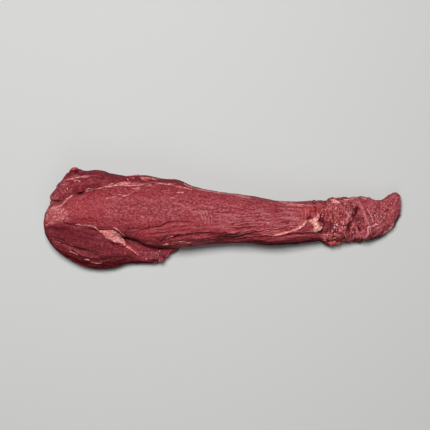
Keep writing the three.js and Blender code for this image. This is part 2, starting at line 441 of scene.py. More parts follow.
@dataclass(frozen=True)
class Filling:
    """Loose meat in a hollow of the solid: inside the patch the skin lies no lower than a level."""

    patch: Patch
    level: float
    floor: float = 5.0

    def raised(self, points: Array) -> Array:
        """The points with the filling in, where only those over the floor are part of the hollow."""
        within = (self.patch.cover(points[:, :2]) > 0.5) & (points[:, 2] > self.floor)
        return np.where(within[:, None], np.maximum(points, (-np.inf, -np.inf, self.level)), points)


def line(*points: Point) -> Path:
    """A path through plan points, in millimetres."""
    return Path(tuple(points))


def area(rim: float, *points: Point) -> Patch:
    """A patch inside the closed line through plan points, with a rim of that softness, in millimetres."""
    return Patch(Path(points), rim)


SEAM = line((8, 6), (15, 14), (28, 18), (35, 26), (45, 34), (55, 36), (71, 41), (86, 44), (103, 47), (121, 49),
            (147, 48), (164, 49), (190, 47), (209, 43))
BORDER = line((2, -9), (19, -5), (32, -5), (54, -8), (67, -9), (74, -11), (84, -20), (93, -30), (106, -34),
              (119, -40), (129, -47), (138, -53))

FOLDS = (
    # Seam and side strip.
    Fold(SEAM, 1.6, 1.6, 0.2),
    Fold(line((30, 54), (39, 57), (48, 60), (58, 59), (75, 60), (95, 58)), 0.5, 1.2, 0.7),
    Fold(line((40, 68), (46, 67), (53, 68.5)), 1.8, 1.5, 0.3),
    # Flap.
    Fold(line((6, -31), (23, -36), (38, -41), (64, -50), (78, -53)), 0.7, 1.4, 0.7),
    Fold(line((12, -36), (28, -43), (44, -49), (60, -57), (74, -60)), 0.5, 1.3, 0.5),
    Fold(line((20, -40), (32, -49), (49, -56), (68, -65), (86, -65), (106, -63), (126, -59)), 0.8, 1.5, 0.8),
    Fold(line((40, -38), (56, -45), (72, -49), (90, -56)), 0.35, 1.2, 0.35),
    # Gap and upper belly.
    Fold(line((115, -25), (124, -29), (133, -31), (141, -35), (148, -39), (160, -41), (176, -42)), 0.8, 1.6,
         0.3),
    Fold(line((119, -23), (138, -18), (155, -14), (168, -11.5), (182, -6.5), (196, -4), (213, -5), (222, -8),
              (228, -13), (228, -19)), 0.5, 1.5, 0.9),
    Fold(line((160, -17), (170, -15.5), (184, -13.5), (199, -10.5), (209, -12), (216, -16)), 0.4, 1.2, 0.8),
    # Slopes over the border and the gap, raised so that they fall more gently.
    Fold(line((-4, -6), (10, -7), (25, -8.5), (35, -10.5), (45, -12.5), (55, -14.5), (65, -16.5), (84, -22)),
         -1.4, 6.0),
    Fold(line((102, -14), (112, -17), (122, -20), (134, -24)), -1.4, 5.0),
    Fold(line((24, -7.5), (36, -8.5), (48, -10.5), (60, -13), (72, -15)), -0.8, 2.4),
    # Belly.
    Fold(line((150, -23), (173, -20.5), (193, -18.5), (213, -15.5), (232, -17.5)), 0.4, 1.2, 0.7),
    Fold(line((142, -28), (160, -27), (178, -25), (198, -22.5), (220, -23)), 0.3, 1.1, 0.6),
    Fold(line((165, -33), (179, -31), (190, -26), (208, -22), (226, -20), (244, -22)), 0.4, 1.2, 0.6),
    Fold(line((170, -40), (182, -40), (200, -38.5), (226, -36.5), (247, -34), (262, -31), (290, -29.5),
              (315, -27.5), (335, -25), (350, -24)), 1.0, 1.5, 1.0),
    Fold(line((188, -35), (207, -30), (226, -30), (250, -27), (270, -24)), 0.45, 1.1, 0.5),
    Fold(line((345, -24), (360, -23), (379, -22), (401, -22)), 1.5, 1.3, 0.8),
    # Middle.
    Fold(line((244, -9), (270, -7), (300, -3.5), (330, -3), (352, -1)), 0.45, 1.1, 0.4),
    Fold(line((262, -15), (290, -13), (318, -10.5), (350, -8)), 0.5, 1.1, 0.5),
    Fold(line((285, -21), (305, -18.5), (330, -16.5), (348, -14)), 0.4, 1.1, 0.5),
    Fold(line((246, 3), (268, 2), (292, 2.5), (312, 4)), 0.3, 1.0, 0.3),
    # Short wrinkles across the middle and before the tail.
    Fold(line((226, 7), (228, 2), (228.5, -4)), 0.9, 0.9, 1.0),
    Fold(line((230, 9), (232, 2), (234, -8)), 1.1, 0.9, 1.2),
    Fold(line((235, 8), (237, 0), (239, -9)), 1.1, 0.9, 1.2),
    Fold(line((240, 6), (242, -1), (243, -8)), 0.8, 0.9, 0.9),
    Fold(line((224, 9), (229, 13), (237, 12)), 0.8, 0.9, 0.9),
    Fold(line((219, 4), (222, 9), (228, 10)), 0.6, 0.9, 0.6),
    Fold(line((248, 8), (254, 10), (262, 9)), 0.5, 0.9, 0.5),
    Fold(line((376, 15), (377, 8), (377, 2)), 0.5, 0.9, 0.5),
    Fold(line((381, 16), (381, 9), (382, 3)), 0.5, 0.9, 0.5),
    # Back.
    Fold(line((55, 22), (62, 21.5), (68, 22)), 0.5, 0.8, 0.2),
    Fold(line((230, 24), (262, 20), (300, 15), (340, 12)), 0.3, 1.0, 0.3),
    # Tail, where depths below 0 are ridges.
    Fold(line((438, 16), (441, 6), (440, -9), (436, -27)), -1.4, 2.4),
    Fold(line((450, 24), (447, 10), (444, -1), (438, -8)), -1.2, 2.4),
    Fold(line((455, 28), (461, 18), (467, 4), (472, -7), (472, -19), (465, -30)), -1.9, 2.6),
    Fold(line((453, 27), (454, 14), (456, 0), (458, -12), (455, -27)), 1.8, 4.6),
    Fold(line((453, -17), (457, -24), (462, -28), (467, -27), (470.5, -20), (471, -11)), -1.3, 1.6),
    Fold(line((448, -16), (451, -24), (457, -30), (464, -32), (470, -30)), -0.9, 1.5),
    Fold(line((404, 24), (414, 14), (420, 2), (426, -10)), 1.0, 1.6, 0.8),
    Fold(line((392, 20), (401, 12), (412, 8), (424, 10)), 0.9, 1.5, 0.7),
    Fold(line((432, 22), (430, 10), (432, -2), (428, -16)), 0.9, 1.6, 0.7),
    Fold(line((469, 15), (475, 4), (482, -8)), -0.7, 0.8),
    Fold(line((474, 20), (484, 10), (492, -2), (500, -10)), 0.8, 1.4, 0.5),
    Fold(line((487, 24), (496, 18), (504, 8)), 0.6, 1.3, 0.4),
)

PITS = (
    # Tail. The last number, where given, is how much painted shade lies in the pocket.
    Pit((454.5, 12), 6.4, 1.6, 4.4, 78, 1.0),
    Pit((456.5, -1), 7.0, 4.4, 1.2, -35, 0.85),
    Pit((458.5, -14.5), 5.8, 1.6, 3.8, -66, 1.0),
    Pit((443, -11), 8.0, 3.2, 1.0, 75, 0.5),
    Pit((404.5, -4), 6.0, 2.6, 3.0, -52, 0.9),
    Pit((384, 1), 4.0, 1.9, 2.6, 40, 0.9),
    Pit((412, -13), 9.0, 7.0, 0.8, 0, 0.4),
    Pit((395, 13), 3.6, 1.1, 1.8, 88),
    Pit((407, 16), 3.2, 1.2, 1.4, 80),
    # Butt, seam and strip.
    Pit((16, 24.5), 9.0, 2.0, 8.5, -12),
    Pit((55, 35.5), 2.8, 0.7, 1.4, 4),
    Pit((104, 49.5), 1.8, 1.0, 1.8, 60),
    Pit((45, 68), 4.5, 1.1, 2.2, 2),
    # Gap: shallow pockets that carry painted shade, the last one painted shade only.
    Pit((121, -28.5), 6.0, 1.9, 1.0, -8, 0.9),
    Pit((132, -30.5), 7.0, 1.5, 0.6, -20, 0.9),
    Pit((143, -36.5), 7.0, 1.3, 0.5, -33, 0.8),
    Pit((156, -41.5), 8.0, 1.2, 0.4, -10, 0.7),
    Pit((129, -34), 8.0, 3.0, 0.0, -20, 0.5),
    # Beside the knob.
    Pit((390, -12), 4.0, 1.6, 1.4, 70),
)


def in_pockets(plan: Array) -> Array:
    """How deep places in plan lie in the pockets, from 0 outside them to about 1 in the middle of one."""
    return sum(pit.share(plan) for pit in PITS)


SWELLS = (
    Swell((521, 20), (12, 20), 4.2),
    Swell((508, -8), (14, 12), 4.4),
    Swell((490, -24), (14, 12), 2.2),
    Swell((11, 28), (8, 11), 5.0),
    Swell((2, -20), (10, 16), 1.6),
    Swell((36, 73), (5, 5), -3.2),
    Swell((62, 73), (10, 6), -2.6),
    Swell((495.5, 33), (6.5, 8), -5.0),
    Swell((409, 31), (8, 7), -2.8),
    Swell((430, 32), (12, 7), -2.4),
    Swell((454, 32), (7, 7), -1.5),
    Swell((403, -38), (7, 5), -4.5),
)

FILLINGS = (
    Filling(area(1.0, (446, 22), (460, 21), (463, 8), (464, -8), (463, -21), (453, -23), (448, -6)), 24.4),
    Filling(area(1.0, (116, -25), (128, -28), (140, -33), (152, -37), (168, -40), (166, -47), (144, -47),
                 (130, -41), (118, -35)), 17.0),
)

UPPER_BACK = area(5.0, (200, 30), (240, 24), (290, 19), (335, 14), (352, 16), (352, 34), (290, 40), (200, 52))
BUTT_FACE = area(3.0, (4, 12), (14, 16), (28, 17), (38, 10), (40, -2), (28, -5), (12, -8), (4, -2))
STRIP_FACE = area(4.0, (12, 22), (14, 40), (26, 56), (42, 52), (44, 38), (32, 26))
# The wing's lower rim, where painted shade is laid.
LOW_RIM_SHADE = area(9.0, (-4, -22), (14, -36), (32, -47), (52, -55), (86, -61), (128, -58), (142, -80), (-6, -80))
GAP = area(3.0, (112, -22), (130, -24), (150, -32), (176, -38), (176, -46), (150, -48), (128, -44), (114, -32))
FLAP_END = area(3.0, (138, -46), (152, -47), (172, -45), (180, -50), (176, -66), (160, -68), (146, -60))
WING_FACE = area(2.5, (-6, -8), (32, -6), (54, -9), (74, -12), (84, -21), (93, -32), (119, -41), (138, -54),
                 (140, -80), (-6, -80))
FOLDED = area(5.0, (102, -10), (118, -8), (136, -9), (170, -4), (210, 2), (236, -2), (262, -8), (300, -9),
              (345, -8), (372, -16), (378, -30), (330, -38), (240, -44), (176, -50), (140, -40), (118, -26))
WRINKLED = area(6.0, (242, 14), (262, 17), (300, 14), (345, 10), (366, 2), (374, -16), (345, -22), (300, -26),
                (262, -28), (258, -8), (246, 2))
CALM = area(4.0, (246, -4), (258, -2), (264, -10), (262, -28), (250, -30), (240, -24), (242, -12))
SIDE_STRIP = area(3.0, (8, 30), (16, 24), (30, 20), (46, 35), (86, 46), (121, 50), (147, 49), (190, 48),
                  (215, 43), (222, 44), (200, 58), (150, 70), (60, 82), (36, 82), (8, 56))
LOWER_LOBE = area(2.0, (176, -43), (200, -39.5), (226, -37.5), (247, -35), (262, -32), (290, -30.5),
                  (315, -28.5), (345, -25.5), (400, -23), (404, -48), (250, -60), (180, -60))
GAP_SIDE = area(4.0, (68, -3), (100, -6), (130, -12), (160, -24), (172, -36), (160, -38), (146, -35),
                (134, -28), (120, -25), (110, -17), (84, -14), (68, -9))
BRIGHT_RED = area(5.0, (368, 16), (398, 20), (432, 19), (436, 4), (414, -4), (398, 6), (384, 5), (370, 1))
TORN_TAIL = area(6.0, (386, 30), (381, 12), (386, 2), (398, -5), (404, -24), (410, -50), (462, -50), (470, -28),
                 (464, -6), (458, 12), (456, 45), (396, 45))


@dataclass(frozen=True)
class Waves:
    """One pattern of noise: how long its waves are, and the shift that sets it apart from the others."""

    size: Triple
    shift: float

    def at(self, places: Array) -> Array:
        """Places in millimetres, counted in waves."""
        return places / self.size + self.shift


@dataclass(frozen=True)
class Ground:
    """Points of the skin in millimetres, the directions out of it there, and the noise that roughens it."""

    points: Array
    outward: Array
    noise: Grain

    @property
    def plan(self) -> Array:
        """The points seen from above."""
        return self.points[:, :2]

    def sway(self, reach: float, height: float) -> Array:
        """A slow wavering of lines on the skin, in millimetres."""
        return height * self.noise(self.points / reach)

    def layers(self, waves: Waves, count: int = 2) -> Array:
        """Noise in waves of that kind, in layers."""
        return self.noise.layers(waves.at(self.points), count)


@dataclass
class LeanMeat:
    """The whole cut as one closed skin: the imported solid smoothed, then folded, torn and grained.

    Heights are in millimetres. Each goes with the waves of the pattern that it raises.
    """

    voxel: float = 1.0
    smoothing: int = 22
    most_triangles: int = 196_000
    seed: int = 11
    near_rounds: int = 4
    far_rounds: int = 26

    unevenness: float = 0.7
    uneven_waves: Waves = Waves((42, 24, 24), 3.1)
    flank_height: float = 0.7
    flank_waves: Waves = Waves((17, 9, 9), 6.6)
    bundle_height: float = 0.4
    bundle_waves: Waves = Waves((40, 5.0, 5.4), 0.0)
    thread_height: float = 0.2
    thread_waves: Waves = Waves((12, 1.9, 1.9), 9.7)
    pebble_height: float = 0.17
    pebble_waves: Waves = Waves((3.6, 2.6, 2.6), 4.4)
    bend_waves: Waves = Waves((20, 13, 13), 2.8)
    crease_height: float = 0.38
    crease_waves: tuple[Waves, Waves] = (Waves((34, 5.6, 9), 1.3), Waves((15, 2.8, 5), 8.1))
    wrinkle_height: float = 1.1
    wrinkle_waves: tuple[Waves, Waves] = (Waves((26, 4.8, 9), 2.7), Waves((17, 2.7, 5), 6.4))
    torn_height: float = 1.7
    clod_waves: Waves = Waves((9, 14, 12), 5.5)
    strand_waves: Waves = Waves((6.5, 18, 9), 8.2)
    cord_waves: Waves = Waves((4.2, 14, 8), 3.3)
    crumb_waves: Waves = Waves((3.0, 2.6, 2.6), 1.9)
    tip_height: float = 0.8
    tip_waves: Waves = Waves((5, 15, 9), 3.9)
    tip_turn: tuple[Triple, ...] = ((0.86, -0.5, 0), (0.5, 0.86, 0), (0, 0, 1))
    cut_height: float = 0.55
    cut_crumb: float = 2.8
    mottle_waves: Waves = Waves((3.4, 2.6, 2.6), 5.2)
    streak_waves: Waves = Waves((9, 4, 4), 2.2)
    film_waves: Waves = Waves((11, 5, 5), 6.1)
    flank_film_waves: Waves = Waves((24, 5, 5), 3.3)
    piece: Piece | None = field(default=None, init=False)

    def build(self, source: Piece, box: Box) -> Piece:
        """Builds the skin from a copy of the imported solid.

        Args:
            source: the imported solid, which is left as it is.
            box: lowest and highest corner of the solid, in metres, which the skin doesn't leave.

        Returns:
            The new piece.
        """
        mesh = melted(placed("solid_copy", source.data.copy()), self.voxel)
        points = self._points(mesh)
        for filling in FILLINGS:
            points = filling.raised(points)
        points = smoothed(points, neighbours(mesh), self.smoothing, SPRING)
        self._set_points(mesh, points)
        outward = vectors(mesh, "normal")
        relief = self._relief(Ground(points, outward, Grain(self.seed)))
        self._set_points(mesh, points + outward * relief[:, None])
        self.piece = placed("lean_meat", mesh)
        self._thin_out()
        lowest, highest = ((np.array(corner) - (BUTT_X, 0, 0)) / MM for corner in box)
        self._set_points(self.piece.data, np.clip(self._points(self.piece.data), lowest, highest))
        self._paint()
        return self.piece

    def dress(self, material: bpy.types.Material) -> None:
        """Gives the skin its finish, with smooth shading.

        Args:
            material: the finish.
        """
        mesh = self.piece.data
        mesh.materials.clear()
        mesh.materials.append(material)
        mesh.polygons.foreach_set("use_smooth", np.ones(len(mesh.polygons), bool))

    def tree(self) -> BVHTree:
        """A search tree over the skin, for laying pieces on it."""
        mesh = self.piece.data
        return BVHTree.FromPolygons([v.co for v in mesh.vertices], [tuple(p.vertices) for p in mesh.polygons])

    def _points(self, mesh: Mesh) -> Array:
        """The mesh's points as millimetres from the butt end, across and up."""
        return (vectors(mesh, "co") - (BUTT_X, 0, 0)) / MM

    def _set_points(self, mesh: Mesh, points: Array) -> None:
        """Moves the mesh's points to places in millimetres."""
        mesh.vertices.foreach_set("co", (points * MM + (BUTT_X, 0, 0)).ravel())
        mesh.update()

    def _torn(self, at: Ground) -> Array:
        """Share of the torn tail at each point, with a wavering rim."""
        return TORN_TAIL.cover(at.plan, at.sway(7, 3))

    def _butt(self, at: Ground) -> Array:
        """Share of the butt's cut face at each point, with a wavering rim."""
        return BUTT_FACE.cover(at.plan, at.sway(5, 2))

    def _cut(self, at: Ground) -> Array:
        """Share of the cut faces at each point: at the butt, the strip and the flap."""
        return np.maximum.reduce([self._butt(at), STRIP_FACE.cover(at.plan), FLAP_END.cover(at.plan)])

    def _relief(self, at: Ground) -> Array:
        """How far the skin moves out.

        Args:
            at: the skin's points before that.

        Returns:
            One height for each point, in millimetres.
        """
        top = ramp(at.outward[:, 2], 0.0, 0.5)
        torn, cut = self._torn(at), self._cut(at)
        wing = WING_FACE.cover(at.plan) * (1 - cut)
        sway = at.sway(9, 1.5) + at.sway(3.5, 0.5)
        height = self.unevenness * at.noise(self.uneven_waves.at(at.points))
        height += self.flank_height * (1 - top) * at.layers(self.flank_waves)
        height += self._fibre_relief(at, (1 - 0.75 * wing) * (1 - torn))
        height += self.pebble_height * at.layers(self.pebble_waves)
        height += top * self._crease_relief(at, wing, torn)
        height += self._torn_relief(at, torn)
        height += self.cut_height * cut * (at.noise.layers(at.points / self.cut_crumb, 2) + 0.4)
        height += top * sum(fold.lift(at.plan, sway) for fold in FOLDS)
        height += sum(swell.lift(at.plan, at.outward) for swell in SWELLS)
        height -= top * self._pits(at)
        return height * ramp(at.points[:, 2], 0.2, 3)

    def _fibre_relief(self, at: Ground, firm: Array) -> Array:
        """Height of the bundles and threads of the muscle.

        Args:
            at: the skin's points.
            firm: share of firm meat at each point.

        Returns:
            One height for each point.
        """
        fibres = self._grain_places(at.points)
        bundles = at.noise.layers(self.bundle_waves.at(fibres), 2)
        threads = at.noise(self.thread_waves.at(fibres))
        share = firm * (0.35 + 0.65 * self._stringy(at))
        return share * (self.bundle_height * bundles + self.thread_height * threads)

    def _crease_relief(self, at: Ground, wing: Array, torn: Array) -> Array:
        """Height of the creases on the belly and the wing's rim, and of the wrinkles in the middle.

        Args:
            at: the skin's points.
            wing: share of the wing's face at each point.
            torn: share of torn meat at each point.

        Returns:
            One height for each point.
        """
        noise, along = at.noise, at.points[:, 0]
        fibres = self._grain_places(at.points)
        calm = CALM.cover(at.plan)
        rim = wing * (1 - ramp(fibres[:, 1], 12, 26)) * ramp(along, 4, 16) * (1 - ramp(along, 120, 146))
        folded = np.maximum(FOLDED.cover(at.plan, at.sway(8, 3)) * (1 - torn), 1.7 * rim)
        bends = noise(self.bend_waves.at(at.points))[:, None] * (0, 1, 0)
        wavy = fibres + (2.5 + 1.5 * wing[:, None]) * bends
        long, short = (noise.creases(waves.at(wavy)) for waves in self.crease_waves)
        height = self.crease_height * folded * (1 - 0.8 * calm) * (long + 0.4 * short)

        wrinkled = WRINKLED.cover(at.plan, at.sway(12, 3)) * (1 - torn)
        rising = wavy - 0.2 * at.points[:, :1] * (0, 1, 0)
        long, short = (waves.at(rising) for waves in self.wrinkle_waves)
        wrinkles = 0.65 * noise.creases(long) + 0.6 * noise(short)
        return height + self.wrinkle_height * wrinkled * (1 - calm) * wrinkles

    def _torn_relief(self, at: Ground, torn: Array) -> Array:
        """Height of the torn meat in the tail, and of the ridges on its tip.

        Args:
            at: the skin's points.
            torn: share of torn meat at each point.

        Returns:
            One height for each point.
        """
        pocket = np.clip(1.6 * in_pockets(at.plan), 0, 1)
        crumbs = at.layers(self.crumb_waves)
        height = self.torn_height * torn * (1 - 0.85 * pocket) * (self._tear(at.points) + 0.08 * crumbs)
        turned = self._swirled(at.points) @ np.array(self.tip_turn).T
        tip = ramp(at.points[:, 0], 462, 474) * (1 - torn)
        return height + tip * (self.tip_height * at.noise.creases(self.tip_waves.at(turned)) + 0.16 * crumbs)

    def _swirled(self, points: Array) -> Array:
        """Places moved about in plan by a slow noise, so that what is laid on them swirls."""
        noise = Grain(self.seed)
        return points + 3.0 * np.stack([noise(points / 8 + 20), noise(points / 8 + 40), 0 * points[:, 0]], 1)

    def _tear(self, points: Array) -> Array:
        """The pattern of torn meat, whose strands run across the tail.

        Args:
            points: places in millimetres.

        Returns:
            One value for each point, from about -1 in the clefts to 1 on the strands.
        """
        noise = Grain(self.seed)
        swirled = self._swirled(points)
        clods = noise(self.clod_waves.at(swirled))
        strands = noise.creases(self.strand_waves.at(swirled))
        cords = noise(self.cord_waves.at(swirled))
        return 0.7 * clods + 0.4 * strands + 0.7 * cords

    def _stringy(self, at: Ground) -> Array:
        """Share of long fibres: few on the thick end, many on the strip, the middle and the tail."""
        fibrous = ramp(at.points[:, 0], 170, 270) * (1 - 0.55 * UPPER_BACK.cover(at.plan))
        return np.maximum(fibrous, 0.6 * SIDE_STRIP.cover(at.plan))

    def _pits(self, at: Ground) -> Array:
        """Depth of the pockets at each point, in millimetres, with an uneven rim."""
        strayed = at.plan + 0.9 * np.stack([at.noise(at.points / 5 + 11), at.noise(at.points / 5 + 31)], axis=1)
        return (1 + at.sway(2.5, 0.2)) * sum(pit.depth * pit.share(strayed) for pit in PITS)

    def _grain_places(self, points: Array) -> Array:
        """Places counted along and across the fibres, which follow the bends of the muscle.

        Args:
            points: places in millimetres.

        Returns:
            Places whose first number runs along the fibres.
        """
        main_middle = np.interp(points[:, 0], (0, 45, 96, 150, 227, 331, 440, 480, 505, 520),
                                (-2, 6, 12, 6, 2, 0, -2, 0, 12, 20))
        main_half = np.interp(points[:, 0], (0, 96, 174, 261, 366, 470, 520), (30, 42, 48, 40, 29, 33, 18))
        across = (points[:, 1] - main_middle) * 40 / main_half
        wing = WING_FACE.cover(points[:, :2])
        rim = np.interp(points[:, 0], (-5, 20, 50, 87, 120, 180), (-18, -44, -62, -73, -68, -54))
        across = across * (1 - wing) + (points[:, 1] - rim) * 1.05 * wing
        return np.stack([points[:, 0], across, points[:, 2]], axis=1)

    def _thin_out(self) -> None:
        """Drops points where the skin is flat, until the piece has no more than most_triangles triangles."""
        triangles = sum(len(p.vertices) - 2 for p in self.piece.data.polygons)
        thin = self.piece.modifiers.new("thin", "DECIMATE")
        thin.ratio = min(1.0, self.most_triangles / triangles)
        mesh = bpy.data.meshes.new_from_object(self.piece.evaluated_get(bpy.context.evaluated_depsgraph_get()))
        self.piece.modifiers.clear()
        self.piece.data = mesh
        log.info("meat: %d faces after thinning from %d triangles", len(mesh.polygons), triangles)

    def _paint(self) -> None:
        """Writes the masks that the meat's finish reads."""
        mesh = self.piece.data
        at = Ground(self._points(mesh), vectors(mesh, "normal"), Grain(self.seed + 1))
        self._paint_heights(at)
        self._paint_torn(at)
        self._paint_tones(at)
        self._store(Mask.STRINGY, self._stringy(at))
        mottled = 0.9 * self._butt(at) * ramp(at.layers(self.mottle_waves), 0.0, 0.7)
        self._store(Mask.FAT, np.maximum(self._streaks(at), mottled))
        self._store(Mask.FILM, self._film(at))
        grain = mesh.attributes.new(Mask.GRAIN.value, "FLOAT_VECTOR", "POINT")
        grain.data.foreach_set("vector", self._grain_places(at.points).ravel())

    def _paint_heights(self, at: Ground) -> None:
        """Paints shade into the hollows and the pockets, and a highlight onto what stands proud of its
        surroundings.

        Args:
            at: the skin's points.
        """
        edges = neighbours(self.piece.data)
        moved = (smoothed(at.points, edges, n) - at.points for n in (self.near_rounds, self.far_rounds))
        near, far = (np.einsum("ij,ij->i", away, at.outward) for away in moved)
        pits = self._pits(replace(at, noise=Grain(self.seed)))
        # Painted shade in concave places and in the pockets.
        hollow = ramp(near, 0.04, 0.6) * 0.45 + ramp(far, 0.25, 1.9) * 0.5 + 0.3 * ramp(pits, 0.8, 4.0)
        hollow *= 1 - (1 - ramp(BORDER.reach(at.plan)[0], 5, 10)) * (1 - ramp(at.points[:, 0], 84, 100))
        gap = GAP.cover(at.plan)
        hollow *= 1 - 0.75 * np.maximum(FOLDED.cover(at.plan), GAP_SIDE.cover(at.plan)) * (1 - gap)
        hollow = np.maximum(hollow * (1 - 0.55 * gap), sum(pit.dark * pit.share(at.plan) for pit in PITS))
        self._store(Mask.HOLLOW_SHADE, np.clip(hollow, 0, 1))
        # Painted highlight on what stands proud.
        self._store(Mask.RIDGE_HIGHLIGHT, np.clip(ramp(-near, 0.02, 0.4) * 0.6 + ramp(-far, 0.2, 1.4) * 0.5, 0, 1))

    def _paint_torn(self, at: Ground) -> None:
        """Paints the torn meat and the strands in it, which the finish uses for painted shade and painted
        highlight.

        Args:
            at: the skin's points.
        """
        torn = self._torn(at)
        butt = 0.9 * self._butt(at)
        ends = 0.35 * np.maximum(FLAP_END.cover(at.plan), STRIP_FACE.cover(at.plan))
        tip = 0.22 * ramp(at.points[:, 0], 464, 476)
        self._store(Mask.TEAR, np.maximum(1 - torn, ramp(self._tear(at.points), -0.75, 0.75)))
        self._store(Mask.TORN, np.clip(np.maximum.reduce([torn, butt, ends, tip]), 0, 1))

    def _paint_tones(self, at: Ground) -> None:
        """Paints the dark purplish parts, partly painted shade, the bright red ones, and painted shade on the
        flanks.

        Args:
            at: the skin's points.
        """
        plan, (along, across) = at.plan, at.plan.T
        cut = self._cut(at)
        strip = SIDE_STRIP.cover(plan)
        flap_end = FLAP_END.cover(plan)
        folded = FOLDED.cover(plan, at.sway(8, 3))
        inner = 1 - 0.45 * ramp(-across - 0.42 * along, 4, 22) * (1 - ramp(along, 90, 120))
        wing = inner * WING_FACE.cover(plan, at.sway(5, 1.5)) * (1 - cut)
        lobe = 0.9 * LOWER_LOBE.cover(plan, at.sway(6, 1.0))
        # Purplish dark tone: partly the meat's own, partly painted shade where the surface faces away from the
        # light, as on the wing and the lower lobe.
        dark = [1.5 * strip * (1 - 0.2 * cut), 0.35 * folded, 1.15 * flap_end, wing, lobe]
        self._store(Mask.DARK_TONE_AND_SHADE, np.maximum.reduce(dark))
        bright = BRIGHT_RED.cover(plan, at.sway(6, 4.0))
        self._store(Mask.BRIGHT, np.maximum.reduce([bright, 0.3 * strip, 0.4 * folded]))
        # Painted shade on the sides, more the further they slope away from the light: most on the lower side,
        # least on the upper side that faces it.
        up, lower, upper = at.outward[:, 2], np.clip(-at.outward[:, 1], 0, 1), np.clip(at.outward[:, 1], 0, 1)
        tilt = 1 - up + 0.7 * lower - 0.3 * upper
        belly_side = ramp(along, 166, 192) * (1 - ramp(along, 225, 345)) * ramp(-across, 24, 34)
        flank = 1.1 * ramp(tilt, 0.2, 1.2) * (1 - 0.4 * GAP.cover(plan)) * (1 - 0.55 * belly_side)
        flank *= 1 - 0.85 * GAP_SIDE.cover(plan)
        # Painted shade along the wing's lower rim.
        low_rim_shade = 1.15 * LOW_RIM_SHADE.cover(plan)
        self._store(Mask.FLANK_SHADE, np.maximum.reduce([flank, low_rim_shade, 0.15 * strip, 0.22 * flap_end]))

    def _store(self, mask: Mask, values: Array) -> None:
        """Writes one mask on the skin's points."""
        made = self.piece.data.attributes.new(mask.value, "FLOAT", "POINT")
        made.data.foreach_set("value", values.astype(np.float32))

    def _streaks(self, at: Ground) -> Array:
        """Thin pale lines of fat along the seams and edges.

        Args:
            at: the skin's points.

        Returns:
            Share of fat at each point.
        """
        sway = at.sway(5, 0.9) + 0.4 * at.noise(at.points / 2 + 4)
        broken = ramp(at.layers(self.streak_waves), -0.35, 0.35)
        total = np.zeros(len(at.points))
        for streak in FAT_STREAKS:
            away, _, share = streak.path.reach(at.plan)
            fade = ramp(share, 0, 0.1) * (1 - ramp(share, 0.9, 1))
            mark = 1 - ramp(away + 0.4 * sway, 0.5 * streak.width, streak.width)
            total = np.maximum(total, streak.strength * fade * mark * (0.45 + 0.55 * broken))
        return total * ramp(at.outward[:, 2], 0.1, 0.5)

    def _film(self, at: Ground) -> Array:
        """Thin pale silverskin film, on the crest partly a painted sheen.

        Args:
            at: the skin's points.

        Returns:
            Share of film at each point.
        """
        sway = 2.5 * at.noise(at.points / 6 + 1.5)
        holes = at.layers(self.film_waves, 3)
        total = np.zeros(len(at.points))
        for sheet in FILMS:
            patchy = ramp(holes, sheet.gap, sheet.gap + 0.7)
            total = np.maximum(total, sheet.strength * sheet.patch.cover(at.plan, sway) * patchy)
        flank = 0.3 * ramp(at.layers(self.flank_film_waves, 3), 0.0, 0.8)
        return np.maximum(total * ramp(at.outward[:, 2], 0.0, 0.4), flank)


@dataclass(frozen=True)
class Streak:
    """A thin pale line of fat in the skin."""

    path: Path
    width: float
    strength: float


@dataclass(frozen=True)
class Film:
    """A part of the skin with silverskin left on it."""

    patch: Patch
    strength: float
    gap: float


